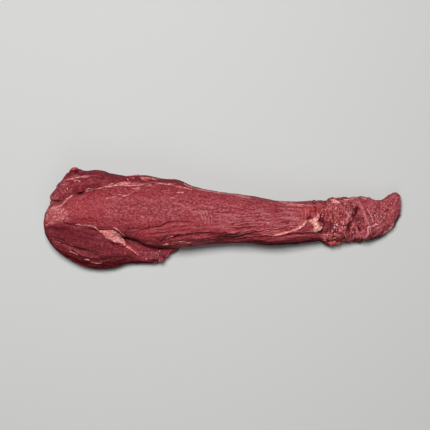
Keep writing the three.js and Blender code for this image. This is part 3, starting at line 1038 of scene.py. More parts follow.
FAT_STREAKS = (
    # Seam and side strip.
    Streak(line((12, 9), (15, 14), (28, 19), (35, 26), (45, 34)), 1.6, 0.85),
    Streak(line((60, 38), (71, 41), (86, 44), (103, 47)), 1.4, 0.75),
    Streak(line((86, 45), (103, 48), (121, 49.5), (147, 48.5), (160, 49.5)), 2.0, 0.9),
    Streak(line((160, 50), (175, 49.5), (190, 47), (212, 43)), 1.4, 0.55),
    Streak(line((29, 54), (39, 57), (48, 60), (58, 59), (68, 60)), 1.1, 0.65),
    Streak(line((98, 29), (108, 32)), 1.0, 0.5),
    Streak(line((116, 31), (125, 34), (135, 41), (142, 44)), 1.1, 0.5),
    Streak(line((139, 59), (154, 58), (168, 56)), 1.4, 0.6),
    # Back edge.
    Streak(line((205, 48), (227, 42), (244, 39), (273, 35), (291, 31), (304, 28)), 1.5, 0.7),
    Streak(line((340, 24), (362, 20), (378, 17)), 1.0, 0.7),
    # Belly, border and flap.
    Streak(line((168, -38), (178, -36), (188, -34), (206, -32)), 1.6, 0.6),
    Streak(line((206, -35), (226, -36), (247, -32)), 1.2, 0.5),
    Streak(line((54, -8), (67, -10), (74, -11), (84, -19)), 1.5, 0.7),
    Streak(line((6, -8), (19, -5), (32, -5)), 1.6, 0.35),
    Streak(line((20, -40), (32, -49), (49, -56), (68, -64)), 1.2, 0.2),
    Streak(line((23, -35), (38, -40), (64, -49), (78, -52)), 1.2, 0.2),
    Streak(line((68, -63), (86, -63), (106, -61)), 1.2, 0.2),
    # Tail.
    Streak(line((445, 27), (453, 31), (459, 33)), 1.8, 0.8),
    Streak(line((469, 15), (475, 4), (482, -8)), 0.8, 0.75),
    Streak(line((471, -14), (476, -11), (486, -9)), 0.8, 0.85),
    Streak(line((471, -14), (471, -22), (467, -29)), 0.8, 0.7),
    Streak(line((494, -23), (503, -16), (511, -6)), 1.3, 0.7),
    Streak(line((405, -23), (418, -24), (426, -23)), 0.9, 0.5),
    # Wrinkles across the middle.
    Streak(line((228, 6), (230, 1), (231.5, -6)), 0.9, 0.4),
    Streak(line((231.5, 5), (233, -1), (235.5, -9)), 0.9, 0.5),
    Streak(line((235.5, 5), (237, -1), (239, -8)), 0.9, 0.45),
    Streak(line((223, 8), (227, 11), (234, 11)), 0.9, 0.35),
    # Ridges in the tail and the skin before them.
    Streak(line((453, -17), (457, -24), (462, -28), (467, -27), (470.5, -20)), 1.5, 0.35),
    Streak(line((447, 14), (444, 5), (441, -6), (437, -17)), 1.8, 0.4),
    Streak(line((461, 18), (466, 4), (469, -8)), 1.8, 0.35),
    Streak(line((372, 14), (374, 8), (374.5, 2)), 0.9, 0.4),
    Streak(line((378.5, 16), (379.5, 9), (379, 3)), 0.9, 0.45),
)

FILMS = (
    Film(area(4.0, (4, 12), (14, 16), (28, 17), (38, 10), (38, -4), (20, -6), (4, -6)), 1.0, -0.6),
    # The crest and the middle: silverskin film, partly a painted sheen.
    Film(area(9.0, (90, 20), (200, 28), (260, 22), (330, 12), (376, 12), (376, -18), (300, -16), (225, -6),
              (180, -2), (140, -10), (100, -6)), 0.38, -0.45),
    Film(area(4.0, (14, 24), (16, 42), (28, 56), (44, 50), (42, 36), (30, 26)), 0.35, 0.1),
    Film(area(4.0, (140, -46), (160, -46), (178, -47), (176, -64), (158, -66)), 0.4, 0.1),
    Film(area(4.0, (150, -18), (200, -8), (230, -16), (250, -26), (214, -32), (170, -34)), 0.18, 0.0),
    Film(area(6.0, (405, 10), (430, 12), (455, 20), (462, -6), (460, -28), (420, -24)), 0.4, 0.1),
    Film(area(6.0, (466, 20), (500, 26), (512, 18), (500, -10), (476, -20)), 0.3, 0.0),
)


class Wire:
    """One output of a shader node, with arithmetic that adds the nodes for it."""

    def __init__(self, graph: Graph, socket: bpy.types.NodeSocket | None) -> None:
        """Wraps a socket.

        Args:
            graph: the graph that the socket belongs to.
            socket: the output.
        """
        self.graph = graph
        self.socket = socket

    def _join(self, operation: str, *terms: Wire | float | Colour) -> Wire:
        """Joins terms with a Math node, or a Vector Math node where one of them is a vector or colour.

        Args:
            operation: what the node does.
            terms: its inputs in order.

        Returns:
            The node's output.
        """
        flat = all(t.socket.type == "VALUE" if isinstance(t, Wire) else not isinstance(t, tuple) for t in terms)
        kind = "ShaderNodeMath" if flat else "ShaderNodeVectorMath"
        return self.graph.add(kind, {"operation": operation}, dict(enumerate(terms)))

    def __add__(self, other: Wire | float | Colour) -> Wire:
        """Sum."""
        return self._join("ADD", self, other)

    def __radd__(self, other: float | Colour) -> Wire:
        """Sum, with the number first."""
        return self._join("ADD", other, self)

    def __sub__(self, other: Wire | float | Colour) -> Wire:
        """Difference."""
        return self._join("SUBTRACT", self, other)

    def __rsub__(self, other: float | Colour) -> Wire:
        """Difference, with the number first."""
        return self._join("SUBTRACT", other, self)

    def __mul__(self, other: Wire | float | Colour) -> Wire:
        """Product."""
        return self._join("MULTIPLY", self, other)

    def __rmul__(self, other: float | Colour) -> Wire:
        """Product, with the number first."""
        return self._join("MULTIPLY", other, self)

    def over(self, low: float, high: float) -> Wire:
        """Smooth step from 0 at low to 1 at high."""
        return self.graph.add("ShaderNodeMapRange", {"interpolation_type": "SMOOTHSTEP"},
                              {"Value": self, "From Min": low, "From Max": high})

    def blend(self, none: Wire | Colour, full: Wire | Colour) -> Wire:
        """A colour that goes from none, where this is 0, to full, where it is 1."""
        links = {"Factor_Float": self, "A_Color": none, "B_Color": full}
        return self.graph.add("ShaderNodeMix", {"data_type": "RGBA"}, links, "Result_Color")


class Graph:
    """The shader nodes of one material."""

    def __init__(self, name: str) -> None:
        """Makes a material with an empty graph.

        Args:
            name: the material's name.
        """
        self.material = bpy.data.materials.new(name)
        self.material.use_nodes = True
        self._tree = self.material.node_tree
        self._tree.nodes.clear()

    def add(self, kind: str, settings: dict[str, Any] | None = None, links: dict[Any, Any] | None = None,
            output: str | int = 0) -> Wire:
        """Adds one node.

        Args:
            kind: the node's type.
            settings: its properties, set before its sockets.
            links: values or wires for its inputs, by name, identifier or number.
            output: the output to give back, by name, identifier or number.

        Returns:
            The output.
        """
        node = self._tree.nodes.new(kind)
        for key, value in (settings or {}).items():
            setattr(node, key, value)
        for key, value in (links or {}).items():
            socket = self._socket(node.inputs, key)
            if isinstance(value, Wire):
                self._tree.links.new(value.socket, socket)
            elif socket.type == "RGBA" and len(value) == 3:
                socket.default_value = (*value, 1.0)
            else:
                socket.default_value = value
        return Wire(self, self._socket(node.outputs, output))

    def _socket(self, sockets: Sequence[bpy.types.NodeSocket], key: str | int) -> bpy.types.NodeSocket | None:
        """The socket with that number, identifier or name, or None for an output of a node that has none."""
        return next((s for i, s in enumerate(sockets) if key in (i, s.identifier, s.name)), None)

    def painted(self, mask: Mask) -> Wire:
        """A mask that is painted on the mesh."""
        output = "Vector" if mask is Mask.GRAIN else "Fac"
        return self.add("ShaderNodeAttribute", {"attribute_name": mask.value}, {}, output)

    def place(self) -> Wire:
        """Places on the piece, in metres."""
        return self.add("ShaderNodeTexCoord", {}, {}, "Object")

    def noise(self, place: Wire, scale: float, detail: float = 3.0, roughness: float = 0.55,
              distortion: float = 0.0) -> Wire:
        """Soft noise from 0 to 1.

        Args:
            place: where to read it.
            scale: number of waves to each unit of place.
            detail: number of finer layers.
            roughness: strength of each layer as a share of the one before.
            distortion: how far the waves are bent.

        Returns:
            The noise.
        """
        links = {"Vector": place, "Scale": scale, "Detail": detail, "Roughness": roughness,
                 "Distortion": distortion}
        return self.add("ShaderNodeTexNoise", {"noise_dimensions": "3D"}, links, "Fac")

    def cells(self, place: Wire, scale: float) -> Wire:
        """Distance to the nearest of scattered spots."""
        links = {"Vector": place, "Scale": scale}
        return self.add("ShaderNodeTexVoronoi", {"feature": "F1"}, links, "Distance")

    def bumps(self, height: Wire, distance: float, strength: float) -> Wire:
        """A surface direction that shows fine relief of that height."""
        return self.add("ShaderNodeBump", {}, {"Height": height, "Distance": distance, "Strength": strength})

    def finish(self, shader: dict[str, Any]) -> bpy.types.Material:
        """Closes the graph with one Principled shader.

        Args:
            shader: values or wires for the shader's inputs, by name.

        Returns:
            The material.
        """
        surface = self.add("ShaderNodeBsdfPrincipled", {}, shader)
        self.add("ShaderNodeOutputMaterial", {}, {"Surface": surface})
        return self.material


@dataclass(frozen=True)
class MeatFinish:
    """Moist raw beef: deep red, grained along the muscle, with a pale film on its high parts, partly a painted
    sheen.
    """

    deep: Colour = light(100, 18, 27)
    red: Colour = light(150, 47, 55)
    rosy: Colour = light(176, 84, 91)
    film: Colour = light(208, 140, 146)
    fat: Colour = light(220, 138, 130)
    warm: Colour = light(156, 46, 48)
    bright: Colour = light(166, 42, 42)
    purple: Colour = light(106, 28, 40)
    # Colours of the painted shade on the flanks and in the hollows.
    flank: Colour = light(60, 5, 9)
    hollow: Colour = light(60, 11, 18)

    def build(self) -> bpy.types.Material:
        """Makes the material.

        Returns:
            The material, which reads what is painted on the skin's points.
        """
        graph = Graph("raw_meat")
        grain = graph.painted(Mask.GRAIN)
        place = graph.place()
        bundles = graph.noise(grain * (0.022, 0.22, 0.22), 1.0, 3.0, 0.6, 0.2)
        threads = graph.noise(grain * (0.06, 0.5, 0.5), 1.0, 3.0, 0.65, 0.3)
        dashes = graph.noise(grain * (0.22, 0.42, 0.42), 1.0, 2.0, 0.6, 0.6)
        lines = graph.noise(grain * (0.03, 0.29, 0.29), 1.0, 1.0, 0.5, 0.3)
        specks = graph.noise(place * (300.0, 440.0, 440.0), 1.0, 2.0, 0.6)
        blotches = graph.noise(place, 34.0, 3.0, 0.6, 0.6)
        mottles = graph.noise(place, 150.0, 3.0, 0.65, 0.4)
        clots = graph.cells(place, 230.0)
        torn = graph.painted(Mask.TORN)
        slow = graph.noise(place, 14.0, 2.0, 0.5)
        dark = graph.painted(Mask.DARK_TONE_AND_SHADE)
        bright = graph.painted(Mask.BRIGHT)
        flank = graph.painted(Mask.FLANK_SHADE)
        hollow = graph.painted(Mask.HOLLOW_SHADE)
        ridge = graph.painted(Mask.RIDGE_HIGHLIGHT)
        film = graph.painted(Mask.FILM)
        fat = graph.painted(Mask.FAT)
        stringy = graph.painted(Mask.STRINGY)
        tear = graph.painted(Mask.TEAR)

        # Fibres, blotches and the darker parts, whose purplish tone is partly painted shade.
        strands = threads.over(0.32, 0.68)
        colour = (0.5 + (strands - 0.5) * (0.25 + 0.6 * stringy)).blend(self.deep, self.red)
        colour = (bundles.over(0.4, 0.7) * (0.2 + 0.4 * stringy)).blend(colour, self.rosy)
        colour = (bundles.over(0.48, 0.3) * (0.3 * stringy)).blend(colour, self.deep)
        colour = (dashes.over(0.46, 0.7) * (0.5 - 0.32 * stringy)).blend(colour, self.rosy)
        colour = (dashes.over(0.5, 0.3) * (0.4 - 0.25 * stringy)).blend(colour, self.deep)
        colour = (specks.over(0.45, 0.3) * threads.over(0.55, 0.35) * (0.5 * stringy)).blend(colour, self.deep)
        colour = (blotches.over(0.4, 0.75) * 0.25).blend(colour, self.rosy)
        colour = (slow.over(0.4, 0.7) * 0.22).blend(colour, self.warm)
        colour = (dark * (0.55 + 0.3 * blotches)).blend(colour, self.purple)
        colour = (dark * mottles.over(0.48, 0.7) * 0.3).blend(colour, self.rosy)
        colour = (lines.over(0.46, 0.3) * (0.45 * stringy)).blend(colour, self.deep)
        colour = (lines.over(0.52, 0.7) * (0.3 * stringy) * (1 - 0.6 * dark)).blend(colour, self.film)
        # Painted highlight on what stands proud, with film on it; then pale specks, partly a painted sheen, and
        # dark specks.
        colour = (ridge * (0.5 + 0.3 * torn)).blend(colour, self.rosy)
        colour = (ridge * stringy * 0.35).blend(colour, self.film)
        colour = (specks.over(0.48, 0.66) * (0.14 + 0.55 * film) * (1 - 0.5 * dark)).blend(colour, self.film)
        colour = (specks.over(0.48, 0.34) * 0.42).blend(colour, self.deep)
        # Torn meat, darker in the clefts and lighter on the strands of its relief: painted shade and painted
        # highlight.
        colour = (torn * clots.over(0.25, 0.7) * 0.3).blend(colour, self.deep)
        colour = (torn * mottles.over(0.5, 0.32) * 0.35).blend(colour, self.deep)
        colour = (torn * mottles.over(0.56, 0.7) * 0.22).blend(colour, self.film)
        colour = (torn * specks.over(0.56, 0.68) * 0.32).blend(colour, self.film)
        colour = (tear.over(0.5, 0.1) * 0.6).blend(colour, self.deep)
        colour = (torn * tear.over(0.55, 0.95) * 0.4).blend(colour, self.rosy)
        colour = (torn * blotches.over(0.5, 0.34) * 0.5).blend(colour, self.purple)
        # What covers the rest: bright parts and fat, then painted shade on the flanks and in the hollows.
        colour = (bright * mottles.over(0.35, 0.65) * 0.65).blend(colour, self.bright)
        colour = (fat * threads.over(0.2, 0.5)).blend(colour, self.fat)
        colour = (flank * (1 - 0.6 * ridge) * 0.92).blend(colour, self.flank)
        colour = (hollow * 0.85).blend(colour, self.hollow)

        relief = threads * (0.2 + 0.6 * stringy) + bundles * 0.4 + dashes * (0.35 - 0.2 * stringy)
        relief = relief + lines * (0.9 * stringy) + specks * (0.45 + 0.4 * torn)
        return graph.finish({
            "Base Color": colour,
            "Roughness": 0.36 + 0.24 * specks + 0.1 * threads + 0.35 * flank,
            "Normal": graph.bumps(relief, 0.0011, 0.85),
            "Coat Weight": 0.02 * blotches + 0.5 * (torn * (1 - hollow) * specks.over(0.5, 0.64)),
            "Coat Roughness": 0.12,
            "IOR": 1.4,
            "Specular IOR Level": 0.1,
            "Subsurface Weight": 0.06,
            "Subsurface Radius": (0.003, 0.0008, 0.0006),
            "Subsurface Scale": 1.0,
        })


@dataclass(frozen=True)
class PaleFinish:
    """Fat or silverskin: pale and moist, thinning into the meat's red at its rim."""

    name: str
    pale: Colour
    warm: Colour
    rim: Colour
    clear: float
    waves: float

    def build(self) -> bpy.types.Material:
        """Makes the material.

        Returns:
            The material, which shows its rim colour where the painted thickness is small; on lumps that
            includes the creases, as painted shade.
        """
        graph = Graph(self.name)
        place = graph.place()
        cover = graph.painted(Mask.COVER)
        mottled = graph.noise(place, self.waves, 4.0, 0.65, 0.5)
        specks = graph.noise(place, 700.0, 2.0, 0.6)
        gaps = graph.noise(place, 0.4 * self.waves, 2.0, 0.5)
        colour = mottled.over(0.35, 0.68).blend(self.warm, self.pale)
        thin = (cover + 0.9 * (mottled - 0.5) + 0.7 * (gaps - 0.5)).over(self.clear, self.clear + 0.5)
        colour = thin.blend(self.rim, colour)
        return graph.finish({
            "Base Color": colour,
            "Roughness": 0.32 + 0.2 * specks,
            "Normal": graph.bumps(mottled * 0.7 + specks * 0.3, 0.0007, 0.6),
            "Coat Weight": 0.04 + 0.08 * mottled,
            "Coat Roughness": 0.2,
            "IOR": 1.42,
            "Specular IOR Level": 0.3,
            "Subsurface Weight": 0.2,
            "Subsurface Radius": (0.003, 0.0015, 0.001),
            "Subsurface Scale": 1.0,
        })


STRAND = PaleFinish("strand", light(236, 164, 152), light(198, 104, 100), light(156, 56, 58), 0.0, 300.0)
FAT = PaleFinish("raw_fat", light(252, 198, 184), light(194, 92, 86), light(124, 34, 34), 0.26, 330.0)
THIN_FAT = PaleFinish("thin_fat", light(238, 170, 164), light(206, 110, 108), light(172, 58, 60), 0.16, 330.0)
# Finish of the whitish spots that stand in for glints: painted highlights.
PAINTED_GLINT = PaleFinish("painted_glints", light(244, 212, 212), light(214, 150, 154), light(150, 60, 66), 0.0, 500.0)
SILVERSKIN = PaleFinish("silverskin", light(230, 164, 160), light(182, 88, 92), light(136, 38, 46), 0.25, 300.0)
TORN_MEAT = PaleFinish("torn_meat", light(200, 112, 114), light(158, 56, 60), light(118, 28, 34), 0.1, 360.0)
LOOSE_MEAT = PaleFinish("loose_meat", light(206, 84, 80), light(156, 48, 50), light(98, 20, 28), 0.3, 240.0)
DARK_MEAT = PaleFinish("dark_meat", light(172, 64, 66), light(134, 36, 42), light(98, 20, 28), 0.1, 240.0)
TENDON = PaleFinish("tendon", light(234, 180, 176), light(200, 106, 110), light(146, 48, 54), 0.15, 360.0)


@dataclass(frozen=True)
class Strip:
    """A narrow strip that lies on the skin: its line, half width, height and how ragged its rim is."""

    path: Path
    half_width: float
    height: float
    ragged: float = 0.6


@dataclass(frozen=True)
class Ball:
    """One ball of a melted lump: place in plan, radius, and how far its middle stands over the skin."""

    place: Point
    radius: float
    over: float = 0.0


Chain = tuple[Ball, ...]


def balls(*places: tuple[float, float, float, float]) -> Chain:
    """A chain of balls, each by its two measures in plan, its radius and how far it stands over the skin."""
    return tuple(Ball((x, y), radius, over) for x, y, radius, over in places)


class Skin:
    """The meat's skin, as the place where strips, lumps and flecks are laid."""

    melt_rounds: int = 8
    thick: float = 1.2
    strip_step: float = 0.8
    strip_points: int = 7
    strip_root: float = 0.7

    def __init__(self, tree: BVHTree, box: Box, seed: int) -> None:
        """Keeps the search tree, the box and the noise.

        Args:
            tree: search tree over the meat's skin.
            box: lowest and highest corner of the solid, in metres, which no laid piece leaves.
            seed: number that picks the pattern of the unevenness.
        """
        self._tree = tree
        self._box = np.array([list(corner) for corner in box])
        self._noise = Grain(seed)
        self.draw = np.random.default_rng(seed)

    def under(self, place: Point) -> Vector:
        """The highest point of the skin at a place.

        Args:
            place: where, in plan, in millimetres.

        Returns:
            The point in the part's frame, in metres.
        """
        start = Vector((place[0] * MM + BUTT_X, place[1] * MM, 0.2))
        found = self._tree.ray_cast(start, Vector((0, 0, -1)))[0]
        return found or self._tree.find_nearest(Vector((start.x, start.y, 0.02)))[0]

    def outward(self, place: Vector, reach: float = 2.5) -> Vector:
        """The mean direction out of the skin round a place.

        Args:
            place: where, in metres.
            reach: how far round it the skin counts, in millimetres.

        Returns:
            A vector of length 1.
        """
        total = Vector((0, 0, 1e-6))
        for _, normal, _, _ in self._tree.find_nearest_range(place, reach * MM):
            total += normal
        return total.normalized()

    def nearest(self, place: Vector) -> Vector:
        """The point of the skin nearest to a place."""
        return self._tree.find_nearest(place)[0]

    def strip(self, strip: Strip) -> tuple[list[Vector], list[list[int]], list[float]]:
        """A closed mesh for one strip, its rim let into the skin.

        Args:
            strip: what to lay.

        Returns:
            Points, faces, and how thickly each point covers the meat.
        """
        route = [self.under(tuple(p)) for p in strip.path.smooth(self.strip_step)]
        count = len(route)
        shares = np.linspace(0, 1, count)
        taper = np.clip(np.sin(np.pi * shares) * 2.2, 0.12, 1) ** 0.7
        spread = np.linspace(-1, 1, self.strip_points)
        flesh = 1 - np.abs(spread) ** 2.5
        points: list[Vector] = []
        covers: list[float] = []
        for i, middle in enumerate(route):
            ahead = (route[min(i + 1, count - 1)] - route[max(i - 1, 0)]).normalized()
            up = self.outward(middle)
            side = up.cross(ahead).normalized()
            spot = np.array([middle / MM])
            wide = strip.half_width * taper[i] * (1 + strip.ragged * float(self._noise(spot / 2.2)[0]))
            drift = strip.ragged * strip.half_width * float(self._noise(spot / 6 + 9)[0])
            tall = strip.height * taper[i] * (0.8 + 0.5 * float(self._noise(spot / 3 + 4)[0]))
            bases = [self.nearest(middle + side * ((drift + v * wide) * MM)) for v in spread]
            for base, thick in zip(bases, flesh):
                points.append(base + up * ((tall * thick - 0.2 * (1 - thick)) * MM))
                covers.append(float(thick * taper[i]))
            for base in reversed(bases[1:-1]):
                points.append(base - up * (self.strip_root * MM))
                covers.append(0.0)
        ring = len(points) // count
        faces = [
            [i * ring + j, (i + 1) * ring + j, (i + 1) * ring + (j + 1) % ring, i * ring + (j + 1) % ring]
            for i in range(count - 1) for j in range(ring)
        ]
        faces += [list(range(ring)), [(count - 1) * ring + j for j in reversed(range(ring))]]
        return points, faces, covers

    def strips(self, name: str, group: Iterable[Strip]) -> Piece:
        """One piece of several strips.

        Args:
            name: the piece's name.
            group: what to lay.

        Returns:
            The piece.
        """
        points: list[Vector] = []
        faces: list[list[int]] = []
        covers: list[float] = []
        for strip in group:
            more_points, more_faces, more_covers = self.strip(strip)
            faces += [[len(points) + k for k in face] for face in more_faces]
            points += more_points
            covers += more_covers
        return self._piece(name, points, faces, np.array(covers))

    def lump(self, name: str, chains: Iterable[Chain], voxel: float, flat: float, rough: float) -> Piece:
        """One piece of chains of balls melted together on the skin.

        Args:
            name: the piece's name.
            chains: what to melt, each chain without gaps between its balls.
            voxel: size of the piece's faces, in millimetres.
            flat: height of each ball as a share of its radius.
            rough: unevenness of the skin of the lump, in millimetres.

        Returns:
            The piece.
        """
        shape, corners = self._ball_shape()
        points: list[Vector] = []
        faces: list[list[int]] = []
        for ball in itertools.chain.from_iterable(self._filled(chain) for chain in chains):
            place = self.under(ball.place)
            up = self.outward(place, 4.0)
            turn = up.to_track_quat("Z", "Y")
            middle = place + up * (ball.over * MM)
            faces += [[len(points) + k for k in face] for face in corners]
            points += [middle + turn @ Vector((p[0], p[1], p[2] * flat)) * (ball.radius * MM) for p in shape]
        mesh = melted(self._piece(name + "_balls", points, faces, np.ones(len(points))), voxel)
        return self._roughened(name, mesh, rough)

    def _filled(self, chain: Chain) -> list[Ball]:
        """Fills a chain up, so that it has no waists.

        Args:
            chain: the balls as given.

        Returns:
            The same balls with more between them.
        """
        found = [chain[0]]
        for start, end in zip(chain, chain[1:]):
            gap = math.dist(start.place, end.place)
            steps = max(1, round(gap / (0.4 * min(start.radius, end.radius))))
            for share in (k / steps for k in range(1, steps + 1)):
                x, y = (a + (b - a) * share for a, b in zip(start.place, end.place))
                radius = start.radius + (end.radius - start.radius) * share
                found.append(Ball((x, y), radius, start.over + (end.over - start.over) * share))
        return found

    def _roughened(self, name: str, mesh: Mesh, rough: float) -> Piece:
        """Makes a piece of a melted mesh, smooth, then uneven, and marked with how thickly it covers the meat,
        thinner in the creases as painted shade.

        Args:
            name: the piece's name.
            mesh: the melted mesh.
            rough: height of the unevenness, in millimetres.

        Returns:
            The piece.
        """
        places = smoothed(vectors(mesh, "co") / MM, neighbours(mesh), self.melt_rounds, SPRING)
        mesh.vertices.foreach_set("co", (places * MM).ravel())
        mesh.update()
        uneven = (self._noise.layers(places / 4.5, 2) + 0.4 * self._noise(places / 1.3)) * rough
        folds = ramp(-self._noise.creases(places / 3.4 + 2.6), 0.1, 0.6)
        uneven -= 1.1 * rough * folds
        places += vectors(mesh, "normal") * uneven[:, None]
        mesh.vertices.foreach_set("co", np.clip(places * MM, *self._box).ravel())
        mesh.update()
        proud = [(Vector(p * MM) - self.nearest(Vector(p * MM))).length / MM for p in places]
        # Thinner cover in the creases, so they show the darker rim colour: painted shade.
        self._mark(mesh, np.clip(np.array(proud) / self.thick, 0, 1) * (1 - 0.7 * folds))
        return placed(name, mesh)

    def flecks(self, name: str, spots: Iterable[Spot]) -> Piece:
        """One piece of small flat flecks.

        Args:
            name: the piece's name.
            spots: the two measures in plan, the length and the width of each, in millimetres.

        Returns:
            The piece.
        """
        shape, corners = self._ball_shape()
        points: list[Vector] = []
        faces: list[list[int]] = []
        for x, y, length, width in spots:
            middle = self.under((x, y))
            up = self.outward(middle, 1.5)
            turn = up.to_track_quat("Z", "Y")
            yaw = self.draw.normal(0, 0.5)
            way = turn @ Vector((math.cos(yaw), math.sin(yaw), 0))
            side = up.cross(way)
            uneven = 1 + 0.35 * self._noise(shape * 1.4 + middle.x * 900)
            faces += [[len(points) + k for k in face] for face in corners]
            points += [
                middle + (way * (p[0] * length) + side * (p[1] * width) + up * (p[2] * 0.45 * width)) * (u * MM)
                for p, u in zip(shape, uneven)
            ]
        return self._piece(name, points, faces, np.ones(len(points)))

    def _ball_shape(self) -> tuple[Array, list[list[int]]]:
        """Makes the shape that lumps and flecks are made of.

        Returns:
            Points and faces of a ball of radius 1.
        """
        made = bmesh.new()
        bmesh.ops.create_icosphere(made, subdivisions=2, radius=1.0)
        points = np.array([v.co for v in made.verts])
        faces = [[v.index for v in face.verts] for face in made.faces]
        made.free()
        return points, faces

    def _piece(self, name: str, points: Sequence[Vector], faces: Sequence[Sequence[int]],
               covers: Array) -> Piece:
        """Makes a piece of points and faces.

        Args:
            name: the piece's name.
            points: its points, in metres, of which those outside the box are moved to its sides.
            faces: its faces, each the numbers of its points.
            covers: how thickly each point covers the meat.

        Returns:
            The piece.
        """
        mesh = bpy.data.meshes.new(name)
        mesh.from_pydata(np.clip(np.array(points), *self._box), [], faces)
        mesh.update()
        self._mark(mesh, covers)
        return placed(name, mesh)

    def _mark(self, mesh: Mesh, covers: Array) -> None:
        """Writes how thickly each point covers the meat, and shades the mesh smooth.

        Args:
            mesh: a piece's mesh.
            covers: one share for each point.
        """
        mark = mesh.attributes.new(Mask.COVER.value, "FLOAT", "POINT")
        mark.data.foreach_set("value", covers.astype(np.float32))
        mesh.polygons.foreach_set("use_smooth", np.ones(len(mesh.polygons), bool))


